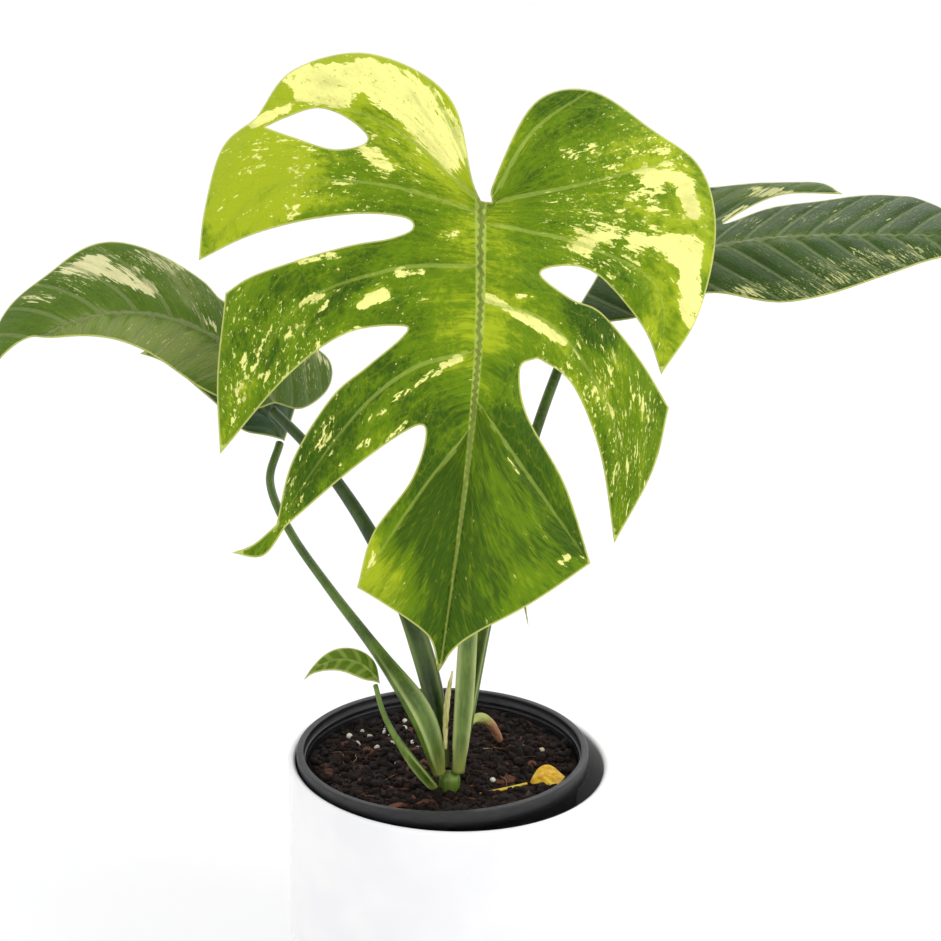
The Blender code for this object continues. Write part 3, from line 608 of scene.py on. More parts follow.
class Rib:
    """The midrib's line in space, and how the blade bends about it."""

    def __init__(self, points, side, fold=0.0, droop=0.0, back=0.0):
        self.line = smooth_line(points, 24)
        self.at = travelled(self.line)
        self.side = np.asarray(side, float)
        self.fold = math.radians(fold)
        self.droop = droop
        self.back = back

    def spot(self, along):
        inside = np.clip(along, 0, self.at[-1])
        return np.column_stack([np.interp(inside, self.at, self.line[:, axis]) for axis in range(3)])

    def frame(self, along):
        along = np.atleast_1d(np.asarray(along, float))
        inside = np.clip(along, 0, self.at[-1])
        forward = unit(self.spot(inside + 3) - self.spot(inside - 3))
        side = unit(self.side - (forward @ self.side)[:, None] * forward)
        return self.spot(inside) + forward * (along - inside)[:, None], forward, side, np.cross(forward,
                                                                                                side)

    def point(self, across, along, lift=0.0):
        """Points of the blade, lifted off its middle surface."""
        across, along = np.asarray(across, float), np.asarray(along, float)
        position, forward, side, up = self.frame(along)
        width = np.abs(across)
        height = width * math.sin(self.fold) - self.droop * width ** 2 / 1000
        height = height - np.where(along < 0, self.back * along ** 2 / 1000, 0) + lift
        return position + side * (across * math.cos(self.fold))[:, None] + up * height[:, None]


print("the soil is", round(GROUND, 1), "mm up where the stem stands")

# %% Filling an outline
def to_segments(points, loop):
    """Distance from each point to a line of points, its sign, and how far along the line that is."""
    start, step = loop[:-1], np.diff(loop, axis=0)
    length = travelled(loop)
    near, side, along = [], [], []
    for chunk in np.array_split(points, max(1, len(points) * len(loop) // 2000000)):
        offset = chunk[:, None] - start[None]
        share = np.clip((offset * step).sum(2) / np.maximum((step ** 2).sum(1), 1e-12), 0, 1)
        gap = offset - share[..., None] * step
        square = (gap ** 2).sum(2)
        best = square.argmin(1)
        row = np.arange(len(chunk))
        near.append(np.sqrt(square[row, best]))
        side.append(np.sign(step[best, 0] * gap[row, best, 1] - step[best, 1] * gap[row, best, 0]))
        along.append(length[best] + share[row, best] * np.diff(length)[best])
    return np.concatenate(near), np.concatenate(side), np.concatenate(along)


def inside_of(points, loop):
    """Whether each point is inside a closed outline."""
    odd = np.zeros(len(points), bool)
    for a, b in zip(loop, np.roll(loop, -1, axis=0)):
        crosses = (a[1] > points[:, 1]) != (b[1] > points[:, 1])
        if crosses.any():
            reach = a[0] + (points[:, 1] - a[1]) * (b[0] - a[0]) / (b[1] - a[1] if b[1] != a[1] else 1e-9)
            odd ^= crosses & (points[:, 0] < reach)
    return odd


def outline_of(runs, spacing):
    """A closed outline from smooth runs that meet at corners."""
    return np.vstack([spaced(smooth_line(run, 8), spacing)[:-1] for run in runs])


def filled(runs, holes, spacing):
    """Flat points and triangles inside an outline, and each point's distance to the edge."""
    loops = [outline_of(runs, spacing * 0.85)] + [outline_of([hole + hole[:1]],
                                                             spacing * 0.8) for hole in holes]
    low, high = loops[0].min(0), loops[0].max(0)
    rows = np.arange(low[1], high[1], spacing * 0.87)
    lattice = np.vstack([np.column_stack([np.arange(low[0] + (row % 2) * spacing / 2, high[0], spacing),
                                          np.full(len(np.arange(low[0] + (row % 2) * spacing / 2, high[0],
                                                                spacing)), v)])
                         for row, v in enumerate(rows)])
    keep = inside_of(lattice, loops[0])
    for loop in loops[1:]:
        keep &= ~inside_of(lattice, loop)
    lattice = lattice[keep]
    closed = [np.vstack([loop, loop[:1]]) for loop in loops]
    rim = np.min([to_segments(lattice, loop)[0] for loop in closed], axis=0)
    lattice = lattice[rim > spacing * 0.55]
    edges, start = [], 0
    for loop in loops:
        edges += [(start + i, start + (i + 1) % len(loop)) for i in range(len(loop))]
        start += len(loop)
    every = [Vector(p) for p in np.vstack(loops + [lattice])]
    flat, _, triangles, _, _, _ = delaunay_2d_cdt(every, edges, [], 1, 1e-5)
    flat = np.array(flat)
    triangles = np.array(triangles)
    centres = flat[triangles].mean(1)
    keep = inside_of(centres, loops[0])
    for loop in loops[1:]:
        keep &= ~inside_of(centres, loop)
    triangles = triangles[keep]
    used = np.unique(triangles)
    number = np.full(len(flat), -1)
    number[used] = np.arange(len(used))
    flat = flat[used]
    return flat, number[triangles], np.min([to_segments(flat, loop)[0] for loop in closed], axis=0)


# %% [markdown]
# ## Veins as a map
# Streaks and flecks of cream follow the side veins. If every point of the blade knows how far along a
# vein it lies and between which two veins, a pattern can be laid in those two numbers and it bends
# with the leaf. The veins are drawn as a few lines; the places between them are shared out.

# %% Sharing the blade out between veins
def vein_map(flat, veins, rib_line, first_side):
    """On one side of the rib: distance along the veins, the vein's number, and the room between two."""
    lines = [smooth_line(vein, 8) for vein in veins]
    lines = [np.vstack([line, line[-1] + unit(line[-1] - line[-3]) * 60]) for line in lines] + [rib_line]
    near, side, along = zip(*[to_segments(flat, line) for line in lines])
    near, side, along = np.array(near), np.array(side) * first_side, np.array(along)
    below = (side[:-1] > 0).sum(0)
    row = np.arange(len(flat))
    upper = np.clip(below - 1, 0, len(lines) - 2)
    lower = upper + 1
    gap = near[upper, row] + near[lower, row]
    share = near[upper, row] / np.maximum(gap, 1e-6)
    outside = below == 0
    number = np.where(outside, -near[0, row] / 25.0, upper + share)
    length = np.where(outside, along[0, row], along[upper, row] * (1 - share) + along[lower, row] * share)
    return length, number, np.where(outside, 25.0, gap)


def feathered(flat, room):
    """The same map for a leaf with even side veins that sweep forward."""
    width = np.abs(flat[:, 0])
    start = flat[:, 1] - 0.62 * width - 0.0035 * width ** 2
    return width * 1.2, start / room + np.where(flat[:, 0] > 0, 0.5, 0.0), np.full(len(flat), room * 0.85)


def strokes_on(flat, strokes):
    """Soft brush strokes on the flat leaf: (points, width, strength) each."""
    total = np.zeros(len(flat))
    for line, width, strength in strokes:
        near = to_segments(flat, np.asarray(line, float))[0]
        total += strength * np.clip(1.35 - near / width, 0, 1)
    return np.clip(total, -1, 1)


# %% The blade itself
def blade(name, rib, runs, finish, vein_numbers, holes=(), spacing=2.2, thickness=0.9, rib_width=2.4,
          rib_line=((0, 0), (0, 300)), cream=(), light=(), puff=1.0, wave=1.0, flecks=()):
    """A closed blade with ribs, furrows and the marks that its finish paints by."""
    flat, triangles, rim = filled(runs, holes, spacing)
    length, number, gap = vein_numbers(flat)
    middle = smooth_line(rib_line, 6)
    aside = flat[:, 0] - np.interp(flat[:, 1], middle[:, 1], middle[:, 0])
    end = max(flat[:, 1])
    girth = rib_width * np.clip(1 - flat[:, 1] / end, 0.12, 1)
    between = number - np.floor(number)
    vein_gap = np.minimum(between, 1 - between) * gap
    fade = np.clip(rim / 10, 0, 1)
    quilt = 4 * between * (1 - between) * np.minimum(gap * 0.08, 2.6) * fade * puff
    furrow = 0.7 * np.exp(-(vein_gap / 1.8) ** 2) * puff * np.clip(rim / 4, 0, 1)
    channel = np.exp(-(aside / (girth + 2.5)) ** 2) * 1.3 - np.exp(-(aside / np.maximum(girth,
                                                                                        0.9)) ** 2) * 1.1
    sway = np.sin(flat[:, 0] / 19 + flat[:, 1] / 31) + 0.7 * np.sin(flat[:, 1] / 13 - flat[:, 0] / 23 + 1)
    edge = np.sin(length / 8.5 + number * 2.1) * np.clip(1 - rim / 9, 0, 1) * 0.45
    lift = quilt - furrow - channel * np.clip(rim / 3, 0, 1) + (sway * 0.55 + edge) * wave
    thin = 0.30 + (thickness - 0.30) * np.clip(rim / 5, 0, 1)
    ridge = 2.0 * np.exp(-(aside / np.maximum(girth, 1.0)) ** 2) * girth / rib_width
    ridge += 0.5 * np.exp(-(vein_gap / 1.2) ** 2)
    upper = rib.point(flat[:, 0], flat[:, 1], lift + thin / 2)
    under = rib.point(flat[:, 0], flat[:, 1], lift - thin / 2 - ridge * np.clip(rim / 4, 0, 1))
    count = len(flat)
    top = triangles[:, ::-1]
    faces = [tuple(t) for t in top.tolist()] + [tuple(t) for t in (triangles + count).tolist()]
    sides = {(a, b) for t in top.tolist() for a, b in zip(t, t[1:] + t[:1])}
    faces += [(b, a, a + count, b + count) for a, b in sides if (b, a) not in sides]
    zero = np.zeros(count)
    marks = {"rim": rim, "aside": aside, "girth": girth, "room": gap, "under": zero,
             "cream": strokes_on(flat, cream), "light": strokes_on(flat, light),
             "fleck": strokes_on(flat, flecks)}
    marks = {mark: np.concatenate([values, values]) for mark, values in marks.items()}
    marks["under"][count:] = 1.0
    piece = build(name, [(np.vstack([upper, under]), faces)], [finish], [name.replace("_fine", "")],
                  marks=marks)
    sheet = piece.data.uv_layers.new(name="veins")
    corner = np.zeros(len(piece.data.loops), np.int32)
    piece.data.loops.foreach_get("vertex_index", corner)
    spread = np.column_stack([np.tile(length, 2), np.tile(number * 25.0, 2)])[corner] / 100
    sheet.data.foreach_set("uv", spread.astype(np.float32).ravel())
    return piece


# %% [markdown]
# ## The leaf's finish
# A variegated leaf is layered like a painting: a mottled green ground, fine flecks, then cream patches
# with ragged ends, then pale veins and a thin pale margin. Every layer is stretched along the veins.
# Where the large patches sit is drawn on the mesh; chance only breaks up their edges.

# %% A variegated leaf
def leaf_finish(name, dark, mid, bright, pale_paint, vein, gloss=0.42, speckle=0.0, shine=0.14,
                under=(128, 142, 84)):
    leaf = Finish(name, {"Specular IOR Level": shine})
    sheet = leaf.scaled(leaf.add("ShaderNodeUVMap", {"uv_map": "veins"}, {}), (100, 100, 100))
    flow = leaf.scaled(sheet, (0.24, 1, 1))
    drift = leaf.scaled(sheet, (0.42, 1, 1))
    spot = leaf.place()
    mottle = leaf.noise(flow, 6.0, detail=5.0, rough=0.65)
    grain = leaf.noise(drift, 1.5, detail=4.0, rough=0.7)
    cloud = leaf.noise(spot, 30.0, detail=2.0)
    cream = leaf.drawn("cream")
    # The drawn light marks brighten or darken the green; on the left leaf one of them is a painted sheen.
    tone = cloud + mottle * 1.5 + grain * 1.2 + leaf.drawn("light") * 0.8 + cream * 0.25 - 1.5
    green = leaf.mix(paint(*dark), paint(*mid), tone.rise(-0.15, 0.42))
    green = leaf.mix(green, paint(*bright), tone.rise(0.4, 1.05))
    number = leaf.part(sheet, "Y") * 0.04
    vein_gap = abs(number - number.maths("ROUND")) * leaf.drawn("room")
    along = leaf.part(sheet, "X")
    vein_width = along.rise(130, 0) * 0.75 + 0.28
    main = (vein_gap - vein_width).rise(0.35, -0.25)
    finer = (number * 6 + leaf.noise(sheet, 9.0, detail=3.0) * 1.6).maths("PINGPONG", 0.5)
    fine_line = finer.rise(0.10, 0.0)
    green = leaf.mix(green, paint(*bright), fine_line * 0.16)
    net = leaf.cells(leaf.scaled(sheet, (0.7, 1, 1)), 2.1, "DISTANCE_TO_EDGE").rise(0.16, 0.0)
    green = leaf.mix(green, paint(*bright), net * 0.08)
    patch = leaf.noise(flow, 4.2, detail=6.0, rough=0.68, bend=0.35)
    streak = leaf.noise(leaf.moved(flow, (51, 17, 3)), 1.9, detail=4.0, rough=0.65)
    small = leaf.noise(leaf.moved(drift, (31, 7, 3)), 1.15, detail=3.0, rough=0.6)
    tiny = leaf.noise(leaf.moved(drift, (5, 71, 9)), 0.6, detail=1.0, rough=0.5)
    density = leaf.drawn("fleck") * 0.20 + leaf.noise(spot, 15.0, detail=3.0) * 0.42 + speckle
    patches = (patch * 1.9 + streak * 0.8 + cream * 0.95).rise(1.93, 2.0)
    hole = (small * 1.4 + streak * 0.6).rise(1.26, 1.2)
    streaked = (streak * 1.9 + density + cream * 0.25).rise(1.55, 1.62)
    flecked = (small * 1.9 + density + cream * 0.1).rise(1.58, 1.66)
    dots = (tiny * 1.9 + density).rise(1.66, 1.76)
    pale = (patches * hole).most(streaked * 0.9).most(flecked * 0.75).most(dots * 0.45)
    cream_tone = leaf.mix(paint(*pale_paint), paint(*[c * 0.88 for c in pale_paint]), mottle.rise(0.45, 0.7))
    colour = leaf.mix(green, cream_tone, pale)
    colour = leaf.mix(colour, paint(*vein), main * (along.rise(120, 20) * 0.35 + 0.15))
    rib = (abs(leaf.drawn("aside")) - leaf.drawn("girth")).rise(0.5, -0.3)
    colour = leaf.mix(colour, paint(*vein), rib * 0.9)
    margin = leaf.drawn("rim").rise(1.1, 0.35)
    colour = leaf.mix(colour, paint(214, 218, 120), margin * 0.8)
    back = leaf.mix(paint(*under), paint(204, 206, 150), pale * 0.5)
    back = leaf.mix(back, paint(166, 176, 110), main.most(rib))
    leaf.feed("Base Color", leaf.mix(colour, back, leaf.drawn("under")))
    leaf.feed("Roughness", mottle * 0.14 + leaf.drawn("under") * 0.2 + pale * 0.05 + gloss - 0.07)
    pores = leaf.cells(spot, 0.9).rise(0.0, 0.6)
    leaf.relief(fine_line * -0.5 + pores * 0.22 + mottle * 1.2 + grain * 0.3 - main * 0.6 - net * 0.35, 0.3)
    return leaf


# %% [markdown]
# ## The front leaf
# This is the leaf that everyone sees: heart-shaped, cut by deep splits between its side veins, with
# one closed hole beside the top edge. The outline runs from corner to corner, with a smooth run
# between two corners.

# %% Its outline
FRONT_OUTLINE = [
    # notch beside the stalk, over the upper left lobe to the narrow bridge beside the hole
    [(0, 0), (-5, -10), (-20, -50), (-60, -70), (-95, -60), (-110, -35)],
    # first left lobe's outer edge, then the first split, in and out
    [(-110, -35), (-125, -20), (-130, 10), (-130, 35)],
    [(-130, 35), (-100, 20), (-60, 10), (-35, 10), (-30, 15), (-40, 20), (-60, 25), (-100, 40), (-115, 50)],
    # second left lobe and split
    [(-115, 50), (-115, 90), (-110, 125)],
    [(-110, 125), (-80, 85), (-55, 65), (-30, 60), (-30, 65), (-45, 80), (-60, 95), (-75, 125), (-80, 155)],
    # drip tip of the third lobe, and the third split
    [(-80, 155), (-90, 165), (-100, 170)],
    [(-100, 170), (-85, 170), (-75, 155)],
    [(-75, 155), (-45, 125), (-20, 105), (-15, 110), (-20, 130), (-35, 155), (-40, 180)],
    # lower edge of the tip lobe
    [(-40, 180), (-20, 190), (-5, 200), (0, 215)],
    [(0, 215), (10, 200), (40, 180), (65, 160)],
    # second right split and the narrow right lobe
    [(65, 160), (50, 125), (30, 95), (25, 75), (30, 70), (35, 70), (50, 80), (65, 110), (75, 150)],
    [(75, 150), (90, 115), (95, 85)],
    # first right split, then round the upper right lobe to the notch
    [(95, 85), (80, 65), (60, 45), (45, 40), (30, 30), (45, 25), (60, 30), (80, 50), (90, 70)],
    [(90, 70), (105, 40), (110, 0), (100, -30), (75, -45), (45, -60), (20, -50), (5, -10), (5, 0)],
    [(5, 0), (0, 0)],
]
FRONT_HOLE = [(-105, -30), (-95, -35), (-80, -40), (-65, -35), (-55, -25), (-70, -20), (-90, -25)]

# %% Its veins
FRONT_RIB = [(0, -20), (0, 0), (5, 60), (5, 130), (0, 230)]
LEFT_VEINS = [[(0, 0), (-20, -40), (-40, -70)],
              [(0, 0), (-50, -35), (-105, -45)],
              [(0, 5), (-50, -5), (-100, 0), (-130, 35)],
              [(0, 30), (-40, 35), (-85, 60), (-110, 125)],
              [(0, 70), (-25, 80), (-50, 105), (-80, 155)],
              [(5, 105), (-15, 135), (-40, 180)]]
RIGHT_VEINS = [[(5, 0), (20, -35), (45, -60)],
               [(5, 0), (50, -15), (95, -35)],
               [(5, 10), (50, 15), (85, 30), (90, 70)],
               [(5, 45), (40, 55), (70, 95), (75, 150)],
               [(5, 90), (35, 125), (65, 160)]]


def front_veins(flat):
    rib_line = smooth_line(FRONT_RIB, 6)
    left = flat[:, 0] < np.interp(flat[:, 1], rib_line[:, 1], rib_line[:, 0])
    results = np.zeros((3, len(flat)))
    results[:, left] = vein_map(flat[left], LEFT_VEINS, rib_line, -1)
    results[:, ~left] = vein_map(flat[~left], RIGHT_VEINS, rib_line, 1)
    results[1, ~left] += 20
    return results


# %% Where its cream and its brighter greens lie
FRONT_CREAM = [
    ([(-94, -58), (-78, -58), (-58, -54), (-42, -46), (-28, -34), (-16, -20)], 11, 0.95),
    ([(-60, -62), (-40, -58), (-28, -48)], 7, 0.55),
    ([(-88, -46), (-70, -44)], 6, 0.8), ([(-111, -32), (-104, -36), (-96, -39)], 4, 1.0),
    ([(-56, -20), (-50, -16), (-44, -12)], 5, 0.8), ([(-18, -40), (-10, -26)], 5, 0.4),
    ([(-95, 9), (-86, 10)], 5, 0.7), ([(-122, 12), (-110, 12)], 7, 0.35),
    ([(-100, -18), (-84, -12)], 8, 0.35),
    ([(-82, 32), (-66, 30)], 4, 0.7), ([(-50, 51), (-40, 46)], 4, 0.9), ([(-80, 53), (-68, 50)], 4, 0.75),
    ([(-34, 36), (-24, 34)], 3, 0.75), ([(-72, 74), (-50, 64)], 4, 0.6), ([(-98, 90), (-80, 88)], 6, 0.35),
    ([(-3, 72), (-14, 80), (-30, 92), (-40, 104)], 3, 0.75), ([(-24, 105), (-40, 114), (-52, 128)], 4, 0.5),
    ([(-80, 148), (-70, 124), (-62, 112)], 4, 0.55), ([(-36, 160), (-34, 172)], 4, 0.5),
    ([(-16, 17), (-8, 16)], 3, 0.6),
    ([(76, -20), (84, -26), (92, -20), (98, -10)], 7, 0.8), ([(70, -10), (80, -8)], 5, 0.6),
    ([(48, 13), (60, 9), (76, 9), (92, 6), (104, 8)], 5, 0.8),
    ([(92, 12), (100, 18), (98, 32), (103, 42)], 7, 0.85),
    ([(62, 34), (52, 28), (40, 25)], 4, 0.6), ([(84, 50), (92, 66)], 5, 0.4), ([(38, 18), (50, 17)], 4, 0.5),
    ([(40, -24), (48, -30)], 4, 0.55), ([(7, 44), (20, 49), (34, 55), (44, 60)], 3, 0.95),
    ([(34, 68), (46, 76), (56, 92), (62, 106)], 3.5, 0.6), ([(80, 82), (84, 88)], 5, 0.6),
    ([(20, 42), (28, 41)], 2, 0.8),
    ([(24, 116), (28, 122)], 3, 0.5), ([(50, 162), (54, 158)], 3, 0.7), ([(92, -36), (80, -40)], 6, 0.35),
]
FRONT_LIGHT = [
    ([(-110, -20), (-100, -50), (-70, -66), (-40, -62), (-20, -40)], 34, 0.9),
    ([(-100, 0), (-125, 20)], 30, 0.5), ([(80, -30), (100, 0), (95, 50)], 26, 0.45),
    ([(0, 0), (3, 60), (4, 110)], 20, 0.42), ([(-36, 170), (-20, 185)], 16, 0.8),
    ([(40, 60), (70, 90)], 14, 0.25), ([(-2, 110), (0, 160), (2, 205)], 26, -0.75),
    ([(60, 54), (50, 48)], 10, -0.8),
    ([(-95, 75), (-85, 50), (-55, 34)], 14, -0.35), ([(-40, 84), (-62, 112), (-72, 135)], 14, -0.5),
    ([(24, 80), (40, 125), (54, 150)], 14, -0.5), ([(24, -40), (40, -50)], 16, -0.25),
]
FRONT_FLECKS = [
    ([(-110, -15), (-70, -12), (-40, -4)], 22, 0.8), ([(-110, 60), (-80, 75), (-105, 100)], 24, 0.9),
    ([(70, -30), (90, 0), (60, 10)], 30, 0.9), ([(60, 70), (80, 100), (75, 130)], 24, 0.9),
    ([(-60, 100), (-75, 140)], 20, 0.6), ([(-60, 45), (-30, 45)], 14, 0.6), ([(40, -20), (50, 20)], 20, 0.4),
]

# %% Make the front leaf
front_finish = leaf_finish("front_leaf_green", (52, 86, 0), (98, 132, 0), (168, 186, 28), (252, 250, 148),
                           (170, 190, 84))
front_rib = Rib(arched((5, -10, 285), 215, 260, -70, -75), (1, 0, 0.04), fold=-3, droop=1.0, back=2.5)
blade("front_leaf_fine", front_rib, FRONT_OUTLINE, front_finish, front_veins,
      holes=[FRONT_HOLE],
      spacing=2.1, rib_width=2.6, rib_line=FRONT_RIB, cream=FRONT_CREAM, light=FRONT_LIGHT,
      flecks=FRONT_FLECKS)

# %% [markdown]
# ## The other leaves
# Two blades arch out to the sides behind the front leaf, one hides under the left blade, and one
# small young leaf grows near the rim. They have no deep splits, so their side veins are even and the
# simpler vein map serves.

# %% Left, rear, right and small leaves
LEFT_OUTLINE = [
    [(0, 0), (-20, -15), (-50, -20), (-65, -10), (-50, 15), (-25, 45), (-30, 60), (-45, 95), (-35, 120),
     (-30, 140), (-20, 155), (0, 175)],
    [(0, 175), (-5, 160), (-5, 140), (5, 125), (20, 80), (30, 40), (20, 10), (0, 0)],
]
RIGHT_OUTLINE = [
    [(0, 0), (20, -10), (50, -25), (80, -10), (80, 25), (70, 60), (65, 90), (60, 115), (45, 125)],
    [(45, 125), (50, 100), (40, 80), (25, 65), (35, 90), (40, 120), (45, 150), (40, 165), (0, 195)],
    [(0, 195), (-20, 160), (-35, 135), (-50, 90), (-35, 50), (-40, 10), (-30, -15), (0, 0)],
]
left_finish = leaf_finish("left_leaf_green", (62, 92, 14), (84, 114, 24), (128, 144, 74), (230, 226, 168),
                          (140, 152, 96), gloss=0.4, speckle=0.01)
# The rear leaf's dull, bluish dark greens are painted shade, for the blade that lies under the left leaf.
rear_leaf_shaded_finish = leaf_finish("rear_leaf_green_painted_shade", (38, 62, 36), (56, 84, 50), (86, 112, 72), (196, 206, 160),
                          (96, 120, 80), gloss=0.34)
right_finish = leaf_finish("right_leaf_green", (38, 60, 12), (54, 82, 22), (84, 106, 42), (218, 218, 146),
                           (136, 150, 104), gloss=0.38, speckle=0.035)
small_finish = leaf_finish("small_leaf_green", (74, 104, 12), (100, 132, 26), (140, 166, 60),
                           (226, 232, 160),
                           (168, 188, 90), gloss=0.34)
left_rib = Rib(arched((-95, 40, 175), 175, 195, 65, -60), (0, -0.7, -0.7), fold=-4)
blade("left_leaf_fine", left_rib, LEFT_OUTLINE, left_finish,
      lambda flat: feathered(flat, 17.0),
      spacing=2.3, rib_width=1.6,
      cream=[([(-14, 80), (-22, 92), (-30, 102)], 6, 0.85), ([(-34, 100), (-32, 112)], 5, 0.8),
             ([(-4, 48), (-12, 62)], 4, 0.6),
             ([(-18, 122), (-28, 132)], 4, 0.7), ([(-30, 66), (-38, 84)], 5, 0.5),
             ([(-60, -12), (-58, 2)], 5, 0.6)],
      # The first light stroke is a painted sheen on the near half, which droops towards the front.
      light=[([(15, 40), (14, 80), (8, 120)], 14, 0.8), ([(-20, 60), (-34, 80)], 10, 0.4)],
      flecks=[([(-30, 70), (-30, 110)], 14, 1.0), ([(10, 60), (12, 100)], 10, 0.5),
              ([(-40, 0), (-30, 40)], 24, 0.8)])
rear_rib = Rib(arched((-95, 80, 145), 95, 170, 60, -5), (0, -0.8, -0.6), fold=-4)
blade("left_rear_leaf_fine", rear_rib, oval(95, 35, 20, 0.25), rear_leaf_shaded_finish,
      lambda flat: feathered(flat, 13.0),
      spacing=2.2, rib_width=1.3)
right_rib = Rib(arched((65, 50, 245), 195, -5, 20, -5), (0, 0.9, 0.4), fold=-5)
blade("right_leaf_fine", right_rib, RIGHT_OUTLINE, right_finish,
      lambda flat: feathered(flat, 16.0),
      spacing=2.3, rib_width=1.8,
      cream=[([(-38, 56), (-40, 76)], 5, 0.6), ([(34, 84), (36, 92)], 4, 0.5),
             ([(52, 84), (50, 100), (58, 84)], 5, 0.75),
             ([(30, 66), (40, 76)], 4, 0.7)],
      light=[([(0, 60), (0, 160)], 6, 0.7), ([(55, 70), (55, 110)], 14, 0.8)],
      flecks=[([(-34, 110), (-20, 150)], 16, 1.0), ([(-35, 60), (-45, 95)], 10, 0.8),
              ([(20, 80), (30, 150)], 14, 0.6)])
small_rib = Rib(arched((-35, -30, 55), 45, 190, 70, -60), (0, -0.85, -0.5), fold=-5)
blade("small_leaf_fine", small_rib, oval(45, 8, 8, 0.35), small_finish,
      lambda flat: feathered(flat, 7.0),
      spacing=0.9, rib_width=0.8, thickness=0.7, puff=0.6, wave=0.5)

# %% [markdown]
# ## Stalks and their sheaths
# A monstera stalk is round near its blade. Lower down it is channelled, with two thin wings that once
# wrapped the next leaf. The wings are drawn by the shape of the ring: two fins beside a shallow groove,
# strongest low down, and gone where the sheath ends.

# %% A stalk finish
def stalk_finish(name, dark, bright, wing, gloss=0.36):
    stalk = Finish(name, {"Specular IOR Level": 0.45})
    spot = stalk.place()
    fibre_run = stalk.noise(stalk.scaled(spot, (1, 1, 0.06)), 0.9, detail=3.0, rough=0.6)
    cloud = stalk.noise(spot, 16.0, detail=3.0)
    green = stalk.mix(paint(*dark), paint(*bright), (cloud * 0.8 + fibre_run * 0.5).rise(0.4, 0.9))
    green = stalk.mix(green, paint(*wing), stalk.drawn("fin") * (cloud * 0.5 + 0.55))
    green = stalk.mix(green, paint(168, 170, 84), stalk.drawn("foot") * 0.5)
    green = stalk.mix(green, paint(120, 92, 50),
                      stalk.noise(spot, 2.4, detail=4.0).rise(0.64, 0.72) * stalk.drawn("foot"))
    dot = stalk.cells(stalk.scaled(spot, (1, 1, 0.4)),
                      1.3).rise(0.16, 0.05) * stalk.noise(spot, 9.0).rise(0.5, 0.6)
    stalk.feed("Base Color", stalk.mix(green, paint(150, 168, 92), dot * 0.4))
    stalk.feed("Roughness", fibre_run * 0.2 + gloss - 0.08)
    stalk.relief(fibre_run + dot * 0.3, 0.12)
    return stalk


def stalk(name, slot, points, radii, finish, wings=0.0, upto=0.0, face=(0, -1, 0), spread=0.8):
    """A stalk through the points. Its sheath stands out by wings, up to a share of its length."""
    line = smooth_line(np.column_stack([points, radii]), 12)
    line = spaced(line, 1.6)
    share = travelled(line[:, :3]) / travelled(line[:, :3])[-1]

    def strength(at):
        return np.clip(at / 0.05, 0, 1) * np.clip((upto - at) / max(upto * 0.45, 1e-6), 0,
                                                  1) if upto else at * 0

    def fins(at, angle):
        return strength(at) * np.exp(-((angle - spread) / 0.17) ** 2)

    def shape(at, angle):
        groove = 0.30 * strength(at) * np.exp(-(angle / (spread * 0.65)) ** 2)
        return 1 + wings * fins(at, angle) - groove

    sides = 44 if wings else 28
    part = skin(line[:, :3], line[:, 3], sides, face, shape)
    angle = np.linspace(0, 2 * math.pi, sides, endpoint=False)
    fin = fins(share[:, None], np.minimum(angle, 2 * math.pi - angle)[None,
                                                                      :]) if wings else np.zeros((len(line),
                                                                                                  sides))
    foot_mark = np.repeat(np.clip(1 - share / 0.07, 0, 1), sides)
    marks = {"fin": np.append(np.asarray(fin).ravel(), [0, 0]), "foot": np.append(foot_mark, [1, 0])}
    return build(name, [part], [finish], [name.replace("_fine", "")], marks=marks)


green_stalk = stalk_finish("stalk_green", (46, 70, 8), (98, 126, 40), (176, 190, 116))
pale_stalk = stalk_finish("stalk_pale_green", (62, 92, 16), (118, 144, 56), (190, 200, 130))
# This third copy of the stalk green is darkened as painted shade, for the stalk that stands behind the
# others.
shaded_stalk = stalk_finish("stalk_green_painted_shade", (30, 50, 8), (66, 92, 26), (134, 152, 80))

# %% Where the stalks end under their blades
def under(rib, radius, along=0.0, plain=1.2):
    position, forward, side, up = rib.frame(along)
    return (position - up * (radius + plain / 2 + 0.4))[0]


def grown(foot, leave, arrive, end, count):
    """A stalk's line: leave and arrive are its handles, measured from its foot and from its blade."""
    base = above_soil(foot)
    return bezier(base, base + leave, np.add(end, arrive), end, count)


STEM_AT = np.array([0.5, -30.0])
STEP = 3.4  # a stalk foot's radius and its clearance


def stalk_foot(right, back):
    return (*(STEM_AT + (right * STEP, back * STEP)), 10.5)


stalk("front_leaf_stalk_fine", "stalk_green",
      grown(stalk_foot(1.2, -0.2), (5, 10, 90), (0, 5, -75), under(front_rib, 2.8), 8),
      [3.2, 4.2, 4.0, 3.6, 3.4, 3.2, 3.0, 2.8], pale_stalk, wings=0.55, upto=0.5)
